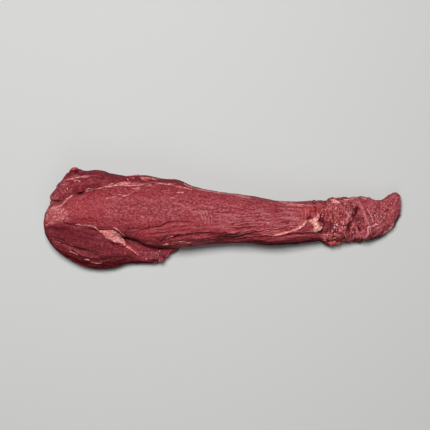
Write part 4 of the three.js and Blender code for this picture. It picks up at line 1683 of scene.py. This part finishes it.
@dataclass
class Silverskin:
    """Strips of silverskin and thin fat along the seams, the folds and the edges."""

    seams: tuple[Strip, ...] = (
        Strip(line((10, 10), (13, 14), (18, 19)), 0.8, 0.5),
        Strip(line((16, 11), (20, 15), (25, 17), (29, 17.5)), 0.8, 0.5),
        Strip(line((20, 16), (14, 13), (12, 8), (15, 3), (21, 0)), 0.9, 0.5),
        Strip(line((25, 17), (30, 21), (35, 27), (40, 31), (45, 35)), 1.1, 0.8),
        Strip(line((62, 40.5), (68, 43), (75, 42)), 0.8, 0.5),
        Strip(line((79, 42.5), (84, 44), (88, 45.5)), 1.0, 0.7),
        Strip(line((89, 45), (97, 46), (105, 46)), 1.0, 0.7),
        Strip(line((94, 47.5), (99, 49.5), (104, 50.5)), 1.1, 0.8),
        Strip(line((101, 47), (108, 48), (118, 49.5), (129, 51)), 1.6, 0.8, 0.5),
        Strip(line((114, 47), (124, 47), (136, 47.5), (148, 49)), 1.1, 0.7, 0.5),
        Strip(line((110, 51.5), (119, 52), (128, 52)), 0.8, 0.6),
        Strip(line((130, 42.5), (136, 43.5), (143, 45.5)), 0.8, 0.5),
        Strip(line((153, 47), (158, 47.5)), 1.1, 0.5),
        Strip(line((166, 51), (176, 49.5), (191, 48)), 1.4, 0.5, 0.4),
        Strip(line((28, 55), (38, 56), (47, 58)), 0.8, 0.6),
        Strip(line((45, 57.5), (54, 59.5), (62, 61), (70, 61)), 0.8, 0.6),
        Strip(line((42, 56), (50, 55), (56, 53)), 0.7, 0.5),
        Strip(line((110, 35), (116, 33.5), (122, 33)), 0.6, 0.35),
        Strip(line((93, 28.5), (97, 29), (101, 30)), 0.6, 0.3),
    )
    edges: tuple[Strip, ...] = (
        Strip(line((143, 56), (147, 58), (152, 59)), 0.8, 0.6),
        Strip(line((156, 59), (160, 57), (164, 55)), 1.0, 0.6),
        Strip(line((160, 58), (174, 57.5), (190, 56)), 0.7, 0.5),
        Strip(line((193, 37), (198, 37.5), (204, 37)), 0.8, 0.5),
        Strip(line((184, 29), (188, 29.5), (192, 29)), 0.7, 0.4),
        Strip(line((202, 51), (207, 48), (212, 46), (219, 44.5)), 1.2, 0.8),
        Strip(line((203, 45), (209, 43), (217, 41.5)), 0.8, 0.5),
        Strip(line((217, 43.5), (228, 41.5), (244, 38.5)), 0.6, 0.5),
        Strip(line((244, 38.5), (258, 36.5), (270, 35)), 1.0, 0.6),
        Strip(line((270, 35.5), (284, 33.5), (302, 30.5)), 0.6, 0.5),
        Strip(line((340, 25), (349, 23.5), (356, 23)), 0.9, 0.6),
        Strip(line((354, 24), (361, 22), (369, 20), (378, 20)), 1.2, 0.7),
        Strip(line((350, 20), (358, 19.5), (366, 18.5)), 0.6, 0.4),
        Strip(line((376, 18.5), (386, 18.5), (394, 19.5)), 0.5, 0.35),
        Strip(line((435, 27.5), (445, 28), (451, 30), (456, 32)), 1.1, 0.8),
        Strip(line((429, 26.5), (434, 25.5), (440, 26)), 0.7, 0.4),
        Strip(line((462, 30), (466, 29.5), (470, 28)), 1.0, 0.6),
    )
    border: tuple[Strip, ...] = (
        Strip(line((4, -8), (6, -9.5), (8, -9.5)), 1.1, 0.5),
        Strip(line((48, -8.5), (53, -9), (58, -10)), 0.9, 0.4),
        Strip(line((66, -10), (71, -10.5), (76, -11.5)), 0.9, 0.4),
        Strip(line((75, -11), (79, -14), (82, -19)), 1.2, 0.8),
        Strip(line((101, -12.5), (107, -14), (112, -18), (116, -22.5), (119, -26)), 1.3, 0.6),
        Strip(line((122, -41), (128, -46), (134, -51), (139, -54.5)), 1.0, 0.6),
        Strip(line((13, -31.5), (19, -33.5), (25, -36)), 0.5, 0.4),
        Strip(line((36, -47), (44, -50), (50, -53)), 0.5, 0.4),
        # Pale strip where a glint shows on the wing's rim: partly a painted highlight.
        Strip(line((58, -59.5), (62, -60), (66, -61)), 1.2, 0.4),
        Strip(line((66, -63.5), (74, -65), (84, -65)), 0.6, 0.4),
    )
    belly: tuple[Strip, ...] = (
        Strip(line((176, -30), (183, -27), (190, -24.5)), 0.6, 0.4),
        Strip(line((172, -37.5), (178, -37.5), (183, -36.5)), 1.3, 0.8),
        Strip(line((196, -33.5), (202, -33), (208, -32.5)), 0.6, 0.4),
        Strip(line((330, -14), (336, -14.5), (341, -15)), 0.8, 0.4),
        Strip(line((322, -6), (325, -6.5), (328, -6)), 0.7, 0.4),
    )
    strand: tuple[Strip, ...] = (
        Strip(line((330, -25), (340, -22.5), (349, -20.5), (357, -18.7), (364, -16), (371, -12.8),
                   (375.5, -8.5), (379.5, -3.5)), 2.6, 2.0, 0.35),
    )
    tendons: tuple[Strip, ...] = (
        Strip(line((468, 15), (472, 9), (474.5, 4), (478, -1)), 0.4, 0.3, 0.4),
        Strip(line((468, -13.5), (473, -11.8), (478, -11), (483, -8.5), (488, -8.5)), 1.0, 0.8, 0.5),
        Strip(line((470.5, -11), (470, -17), (471, -23), (468, -28)), 0.6, 0.5, 0.5),
        Strip(line((476, 4), (482, 0), (487, -6)), 0.4, 0.3, 0.2),
        Strip(line((496, -22), (503, -16.5), (511, -7)), 0.9, 0.5, 0.2),
        Strip(line((404, -22.5), (411, -23.5), (418, -23)), 0.6, 0.4),
        Strip(line((436, -6), (441, 3), (443, 10)), 0.8, 0.5),
        Strip(line((463, 8), (467, 0), (472, -9)), 0.6, 0.5),
    )

    def build(self, skin: Skin) -> list[Piece]:
        """Lays the seam, edge, border and belly strips.

        Args:
            skin: the meat's skin.

        Returns:
            The pieces.
        """
        groups = {
            "seam_silverskin": self.seams,
            "edge_silverskin": self.edges,
            "border_silverskin": self.border,
            "belly_membrane": self.belly,
        }
        return [skin.strips(name, group) for name, group in groups.items()]

    def build_strand(self, skin: Skin) -> list[Piece]:
        """Lays the thick strand before the knob."""
        return [skin.strips("silverskin_strand", self.strand)]

    def build_tendons(self, skin: Skin) -> list[Piece]:
        """Lays the whitish tendons in the tail."""
        return [skin.strips("tail_tendons", self.tendons)]


@dataclass
class Fat:
    """Lumps and spots of fat left by the trimming."""

    knob: tuple[Chain, ...] = (
        balls((396, 7, 0.8, 0.6), (397, 4, 2.0, 1.0), (395.5, 1, 2.8, 1.4), (392.5, -2, 3.4, 1.7)),
        balls((391.5, -3.5, 4.0, 1.3), (393, -7, 4.7, 1.7), (395, -11, 4.7, 1.9), (395, -15, 3.9, 1.7)),
        balls((384.5, -4.5, 1.1, 0.6), (387.5, -3.5, 2.4, 1.5), (389, -6, 2.0, 1.4)),
        balls((395.5, -15.5, 2.5, 1.8), (398.3, -14.2, 2.6, 2.0), (400.5, -12.6, 2.0, 1.5)),
        balls((391, -16, 1.8, 1.2), (393.5, -18, 1.5, 1.0)),
        balls((369, -14.2, 1.2, 0.9), (373, -11.6, 1.7, 1.0), (376, -8, 2.2, 1.0), (378, -5.2, 2.3, 0.9),
              (379.6, -3.6, 1.4, 0.5)),
    )
    tail_spot: tuple[Chain, ...] = (
        balls((416.5, 25.5, 1.6, 0.3), (419.5, 26, 2.5, 0.5), (424, 24.5, 2.6, 0.5), (429, 22.5, 1.4, 0.3)),
        balls((418.5, 23.8, 1.9, 0.3), (423, 22.3, 1.7, 0.3)),
    )
    strip_bump: tuple[Chain, ...] = (
        balls((127.5, 62, 1.4, -0.2), (131, 63.5, 2.2, 0.0), (136, 64, 2.4, 0.0), (140, 62.5, 1.5, -0.3)),
        balls((122.5, 57, 1.1, -0.1), (124, 55, 0.9, -0.1)),
    )
    patch_outline: Patch = area(0.5, (80, -18), (86, -16), (93, -16.5), (101, -16), (107, -17.5), (112, -22),
                                (116, -28), (120, -34), (122, -39), (116, -40), (109, -37.5), (102, -36),
                                (95, -32.5), (90, -29), (86, -24))
    patch_pad: tuple[Chain, ...] = (
        balls((82, -17, 1.6, -0.2), (87.5, -19.5, 3.8, -0.5), (94, -22.5, 6.0, -0.9), (101, -25.5, 7.4, -1.1),
              (108, -28.5, 6.6, -0.9), (113.5, -31.5, 4.8, -0.5), (118, -35.5, 2.8, -0.2)),
        balls((91, -17.5, 2.2, -0.3), (97, -17.5, 3.0, -0.4), (104, -19, 3.4, -0.5), (110, -22.5, 3.2, -0.4),
              (115, -27, 2.6, -0.3)),
        balls((117, -36.5, 3.0, -0.5), (121.5, -40.5, 2.8, -0.7), (127, -45, 1.9, -0.5), (134, -51, 0.8, -0.1)),
    )
    patch_threads: int = 26
    thread_inset: float = 3.0
    thread_way: tuple[float, float] = (-0.55, 0.4)
    thread_reach: tuple[float, float] = (1.0, 3.5)
    thread_radius: tuple[float, float] = (0.7, 1.3)
    thread_over: float = 1.1

    def build(self, skin: Skin) -> list[Piece]:
        """Melts the thick lumps: the knob and the spot on the tail."""
        knob = skin.lump("fat_knob", self.knob, voxel=0.45, flat=1.0, rough=0.75)
        return [knob, skin.lump("tail_fat_spot", self.tail_spot, voxel=0.45, flat=0.7, rough=0.35)]

    def build_thin(self, skin: Skin) -> list[Piece]:
        """Melts the thin patch at the wing's corner and the bump on the strip's edge."""
        patch = skin.lump("fat_patch", [*self.patch_pad, *self._threads(skin)],
                          voxel=0.55, flat=0.42, rough=0.4)
        return [patch, skin.lump("strip_fat_bump", self.strip_bump, voxel=0.5, flat=0.8, rough=0.35)]

    def _threads(self, skin: Skin) -> list[Chain]:
        """Scatters short threads of fat over the patch, most of them along its length.

        Args:
            skin: the meat's skin.

        Returns:
            Chains of two balls.
        """
        spots = self.patch_outline.scattered(skin.draw, 6 * self.patch_threads)
        threads = []
        for x, y in spots[self.patch_outline.cover(spots, -self.thread_inset) > 0.5][: self.patch_threads]:
            angle, reach = skin.draw.normal(*self.thread_way), skin.draw.uniform(*self.thread_reach)
            radius = float(skin.draw.uniform(*self.thread_radius))
            step_x, step_y = math.cos(angle) * reach, math.sin(angle) * reach
            ends = ((float(x + k * step_x), float(y + k * step_y)) for k in (-1, 1))
            threads.append(tuple(Ball(end, radius, self.thread_over) for end in ends))
        return threads


@dataclass
class Scraps:
    """Loose bits of meat that hang at the tail's side and stand up on the torn parts."""

    side: tuple[Chain, ...] = (
        balls((403, -30.5, 0.7, 0.1), (408, -31.5, 0.9, 0.2), (412, -32.5, 1.3, 0.4)),
        balls((412.5, -33.5, 1.6, 0.6), (416, -34.5, 3.0, 1.4), (420, -34, 3.6, 1.8), (423, -32.5, 2.2, 1.0)),
        balls((418, -36.5, 2.4, 1.0), (417.5, -38.5, 1.4, 0.6)),
        balls((423.5, -34.5, 1.8, 1.2), (427.5, -34.5, 2.6, 1.2), (430.5, -36, 1.6, 0.6)),
    )
    corner: tuple[Chain, ...] = (
        balls((40, 69.5, 1.3, 0.0), (43.5, 71, 2.5, 0.2), (47, 71.5, 2.2, 0.2), (50, 70, 1.2, -0.1)),
    )
    flap: tuple[Chain, ...] = (
        balls((185.5, -45.5, 1.5, 0.2), (182.5, -48, 2.2, 0.3), (180.5, -50.5, 1.5, 0.1)),
        balls((179.5, -52.5, 1.8, 0.3), (176.5, -55, 2.0, 0.3)),
        balls((174.5, -58.5, 1.8, 0.2), (172.5, -61, 2.3, 0.2), (169, -62.5, 1.6, 0.0)),
        balls((163, -63.5, 1.4, 0.0), (159.5, -64, 1.7, 0.0)),
    )

    def build(self, skin: Skin) -> list[Piece]:
        """Melts the scrap at the tail's side."""
        return [skin.lump("side_scrap", self.side, voxel=0.45, flat=0.9, rough=0.6)]

    def build_dark(self, skin: Skin) -> list[Piece]:
        """Melts the lump on the strip's corner and the crumbs on the flap's torn edge."""
        lump = skin.lump("corner_lump", self.corner, voxel=0.5, flat=0.8, rough=0.4)
        return [lump, skin.lump("flap_crumbs", self.flap, voxel=0.5, flat=0.8, rough=0.5)]


@dataclass(frozen=True)
class Shreds:
    """Torn fibres scattered over a part of the skin: how many, their way in plan and how much it strays."""

    patch: Patch
    count: int
    way: float
    stray: float
    length: tuple[float, float] = (4.0, 11.0)


@dataclass
class TornFibres:
    """Shreds of torn meat that lie over the tail and the cut faces, with their sizes in millimetres."""

    parts: tuple[Shreds, ...] = (
        Shreds(area(0.5, (398, 24), (430, 26), (436, 14), (434, -26), (408, -30), (404, -12), (406, 4)), 62, 70,
               50),
        Shreds(area(0.5, (434, 26), (456, 28), (466, 8), (470, -16), (462, -30), (436, -30)), 58, 82, 24),
        Shreds(area(0.5, (466, 22), (484, 24), (500, 14), (490, -8), (474, -18), (470, -4)), 26, -50, 30),
        Shreds(area(0.5, (488, 24), (504, 32), (512, 20), (504, 0), (492, 4)), 14, 35, 30),
        Shreds(area(0.5, (6, 10), (16, 16), (30, 14), (36, 4), (30, -4), (10, -5)), 18, 40, 60, (3.0, 7.0)),
        Shreds(area(0.5, (16, 30), (22, 44), (32, 54), (42, 50), (40, 38), (28, 28)), 9, 45, 50, (3.0, 6.0)),
        Shreds(area(0.5, (142, -48), (158, -49), (172, -50), (174, -60), (162, -64), (148, -60)), 9, 20, 60,
               (3.0, 6.0)),
    )
    half_width: tuple[float, float] = (0.45, 1.2)
    height: tuple[float, float] = (0.6, 1.3)
    ragged: float = 0.45
    bend: float = 0.09
    most_hidden: float = 0.15

    def build(self, skin: Skin) -> list[Piece]:
        """Lays the shreds of every part."""
        shreds = [strip for part in self.parts for strip in self._laid(part, skin.draw)]
        return [skin.strips("torn_fibres", shreds)]

    def _laid(self, part: Shreds, draw: np.random.Generator) -> list[Strip]:
        """Scatters the shreds of one part, outside the pockets.

        Args:
            part: which shreds, and where.
            draw: where the random numbers come from.

        Returns:
            Strips, each a bent line of four points.
        """
        spots = part.patch.scattered(draw, TRIES * part.count)
        shown = (part.patch.cover(spots) > 0.5) & (in_pockets(spots) < self.most_hidden)
        found = []
        for spot in spots[shown][: part.count]:
            angle = math.radians(draw.normal(part.way, part.stray))
            length = draw.uniform(*part.length)
            way = np.array((math.cos(angle), math.sin(angle)))
            side = np.array((-way[1], way[0]))
            places = [spot + way * length * share + side * draw.normal(0, self.bend * length)
                      for share in (-0.5, -0.17, 0.17, 0.5)]
            width = float(draw.uniform(*self.half_width))
            path = Path(tuple((float(x), float(y)) for x, y in places))
            found.append(Strip(path, width, float(draw.uniform(*self.height)), self.ragged))
        return found


@dataclass(frozen=True)
class Sprinkle:
    """Flecks scattered over a part of the skin."""

    patch: Patch
    count: int
    length: tuple[float, float]


@dataclass
class Flecks:
    """Small pale flecks of fat and torn membrane, and whitish spots that stand in for glints as painted
    highlights.
    """

    sprinkles: tuple[Sprinkle, ...] = (
        Sprinkle(area(0.5, (6, 12), (18, 17), (30, 16), (36, 8), (34, -3), (16, -6), (6, -2)), 18, (0.5, 1.2)),
        Sprinkle(area(0.5, (14, 26), (18, 44), (30, 54), (44, 52), (42, 36), (26, 26)), 20, (0.5, 1.2)),
        Sprinkle(area(0.5, (148, -50), (160, -51), (172, -52), (174, -60), (164, -64), (152, -60)), 14,
                 (0.4, 1.0)),
        Sprinkle(area(0.5, (410, 24), (430, 24), (452, 20), (464, 0), (462, -26), (418, -26), (410, -6)), 34,
                 (0.5, 1.4)),
        Sprinkle(area(0.5, (468, 16), (498, 20), (508, 12), (500, -8), (476, -18)), 18, (0.5, 1.4)),
        Sprinkle(area(0.5, (70, 30), (180, 44), (330, 20), (330, -15), (220, -20), (150, -20), (80, 0)), 24,
                 (0.5, 1.1)),
    )
    # Whitish spots laid where glints show: painted highlights.
    painted_glints: tuple[Spot, ...] = (
        (425, -9, 2.0, 1.5), (421.5, -12.5, 1.3, 1.0), (431.5, -5, 1.9, 1.3), (434, -8, 1.1, 0.8),
        (432.5, -12.5, 1.1, 0.9), (429, -16.5, 0.9, 0.8), (422.5, -5.5, 1.1, 0.8), (436, -12, 1.0, 0.7),
        (421, -14, 0.9, 0.7), (418, -18, 1.2, 0.6), (424, -17, 1.0, 0.6), (430, -18, 0.9, 0.6),
        (482.5, -8.5, 1.8, 1.1), (475, -6, 1.2, 0.8), (477, -2, 1.0, 0.6), (474, -15, 1.2, 0.6),
        (445, 9, 1.6, 0.7), (443.5, 4, 1.3, 0.6), (480, 5, 1.4, 0.6), (490, 3, 1.2, 0.5),
        (512.5, 26, 0.9, 0.6), (508, 12, 1.0, 0.5), (449, -20, 1.3, 0.8), (446, -24, 1.0, 0.6),
        (437, 21.5, 1.8, 0.7), (413, -22.5, 2.2, 0.6), (27, 1, 1.2, 0.8), (24, -2, 1.2, 0.8),
        (19, 3, 1.1, 0.7), (31, 0, 1.1, 0.7), (62, -60, 1.6, 0.7), (167, -48, 1.0, 0.7),
        (54, 53, 1.3, 0.5), (406, 19, 1.4, 0.6), (411, 17, 1.0, 0.6), (403, 3, 1.0, 0.7),
        (461, -20, 0.9, 0.6),
    )
    # Pale spots: some are fat, and some, in the tail and the middle, stand in for glints as painted highlights.
    spots: tuple[Spot, ...] = (
        (404, 6, 1.3, 0.9), (478, -5, 1.6, 0.9), (485, -13, 1.4, 0.7), (485, 3, 1.5, 0.6),
        (422, -22, 1.3, 0.9), (496, 7, 1.4, 0.7), (501, 6, 1.4, 0.7), (324, -6, 1.6, 0.6),
        (362, -6, 1.2, 0.6), (366, 1, 1.4, 0.6), (29, 10, 1.5, 0.9), (36, 43, 2.0, 0.8),
        (31, 49, 1.5, 0.9), (24, -2, 1.8, 1.0), (27, 1, 1.7, 0.9), (31, 0, 1.6, 1.0),
        (47, 54, 1.4, 0.6), (54, -8, 1.6, 0.7), (94, 29, 1.6, 0.6), (120, 33, 1.6, 0.7),
        (131, 58, 1.2, 0.7), (168, -47, 1.3, 1.0), (118, -51, 1.3, 0.6), (179, -36.5, 2.0, 1.1),
        (453, 31.5, 1.6, 1.1), (421, -9, 1.2, 0.5), (418, -3, 1.1, 0.6), (434, -14, 1.5, 0.6),
        (428, -25, 1.3, 0.7), (489, -6, 1.4, 0.5), (480, 10, 1.5, 0.5), (506, 22, 1.6, 0.5),
        (459, 24, 1.3, 0.6), (468, 28, 1.5, 0.8),
    )
    slimness: tuple[float, float] = (0.25, 0.6)
    most_hidden: float = 0.2

    def build(self, skin: Skin) -> list[Piece]:
        """Lays the spots and scatters the flecks.

        Args:
            skin: the meat's skin.

        Returns:
            The pieces.
        """
        found = list(self.spots)
        for sprinkle in self.sprinkles:
            places = sprinkle.patch.scattered(skin.draw, TRIES * sprinkle.count)
            shown = (sprinkle.patch.cover(places) > 0.5) & (in_pockets(places) < self.most_hidden)
            for x, y in places[shown][: sprinkle.count]:
                length = float(skin.draw.uniform(*sprinkle.length))
                width = length * float(skin.draw.uniform(*self.slimness))
                found.append((float(x), float(y), length, width))
        return [skin.flecks("fat_flecks", found)]

    def build_painted_glints(self, skin: Skin) -> list[Piece]:
        """Lays whitish spots where glints show on the wet meat: painted highlights."""
        return [skin.flecks("painted_glint_spots", self.painted_glints)]


@dataclass(frozen=True)
class Lamp:
    """A square soft light: where it hangs and the length of its side, in metres, and its power, in watts."""

    name: str
    place: Triple
    size: float
    power: float


@dataclass
class Studio:
    """A plain pale floor, a soft light overhead and a weak one at the side, and a camera straight above."""

    look_at: Vector = field(default_factory=lambda: Vector((-0.0116, 0.0051, 0.025)))
    frame_width: float = 0.6246
    lens: float = 100.0
    sensor: float = 36.0
    lamps: tuple[Lamp, ...] = (
        Lamp("key_light", (-0.3, 0.66, 2.15), 0.85, 60.5),
        Lamp("fill_light", (0.1, -1.5, 1.35), 1.2, 5.5),
    )
    sky: Colour = (0.9, 0.95, 1.0)
    sky_strength: float = 0.07
    floor_reach: float = 4.0
    floor_level: float = -0.0003
    floor_colour: Colour = (0.5, 0.5, 0.49)
    floor_roughness: float = 0.75

    def build(self) -> None:
        """Makes the floor, the lights and the camera."""
        self._floor()
        for lamp in self.lamps:
            self._hang(lamp)
        world = bpy.data.worlds.new("room")
        world.use_nodes = True
        background = world.node_tree.nodes["Background"].inputs
        background["Color"].default_value = (*self.sky, 1.0)
        background["Strength"].default_value = self.sky_strength
        bpy.context.scene.world = world
        bpy.context.scene.view_settings.view_transform = "Standard"
        self._camera()

    def _floor(self) -> None:
        """Makes a wide plain floor just under the meat."""
        signs = ((-1, -1), (1, -1), (1, 1), (-1, 1))
        mesh = bpy.data.meshes.new("floor")
        corners = [(x * self.floor_reach, y * self.floor_reach, self.floor_level) for x, y in signs]
        mesh.from_pydata(corners, [], [(0, 1, 2, 3)])
        floor = placed("floor", mesh)
        look = {"Base Color": self.floor_colour, "Roughness": self.floor_roughness}
        mesh.materials.append(Graph("pale_floor").finish(look))
        floor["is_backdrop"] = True

    def _hang(self, lamp: Lamp) -> None:
        """Makes a light that faces the meat.

        Args:
            lamp: which light.
        """
        data = bpy.data.lights.new(lamp.name, "AREA")
        data.shape = "SQUARE"
        data.size = lamp.size
        data.energy = lamp.power
        hung = placed(lamp.name, data)
        hung.location = lamp.place
        hung.rotation_euler = (self.look_at - hung.location).to_track_quat("-Z", "Y").to_euler()

    def _camera(self) -> None:
        """Makes the camera straight above, with the strip's side at the top of the picture."""
        data = bpy.data.cameras.new("camera")
        data.lens = self.lens
        data.sensor_width = self.sensor
        data.clip_end = 20.0
        camera = placed("camera", data)
        height = self.frame_width * self.lens / self.sensor
        camera.location = self.look_at + Vector((0, 0, height))
        bpy.context.scene.camera = camera


def main() -> None:
    """Builds the tenderloin's pieces in order and logs the faces of each."""
    logging.basicConfig(level=logging.INFO, format="%(message)s")
    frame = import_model()
    solid_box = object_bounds()
    Studio().build()
    meat = LeanMeat()
    piece = meat.build(frame["nodes"][NODE], solid_box)
    meat.dress(MeatFinish().build())
    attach(piece, BODY)
    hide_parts(NODE)
    log.info("piece %s: %d faces", piece.name, len(piece.data.polygons))
    skin = Skin(meat.tree(), solid_box, SKIN_SEED)
    silverskin, fat, flecks, scraps = Silverskin(), Fat(), Flecks(), Scraps()
    sets = (
        (silverskin.build(skin), SILVERSKIN.build(), Slot.SILVERSKIN),
        (silverskin.build_strand(skin), STRAND.build(), Slot.SILVERSKIN),
        (silverskin.build_tendons(skin), TENDON.build(), Slot.SILVERSKIN),
        (fat.build(skin), FAT.build(), Slot.FAT),
        (fat.build_thin(skin) + flecks.build(skin), THIN_FAT.build(), Slot.FAT),
        (flecks.build_painted_glints(skin), PAINTED_GLINT.build(), Slot.SILVERSKIN),
        (TornFibres().build(skin), TORN_MEAT.build(), Slot.MEAT),
        (scraps.build(skin), LOOSE_MEAT.build(), Slot.MEAT),
        (scraps.build_dark(skin), DARK_MEAT.build(), Slot.MEAT),
    )
    for pieces, material, slot in sets:
        for laid in pieces:
            laid.data.materials.append(material)
            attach(laid, BODY)
            log.info("piece %s: %d faces", laid.name, len(laid.data.polygons))


if __name__ == "__main__":
    main()
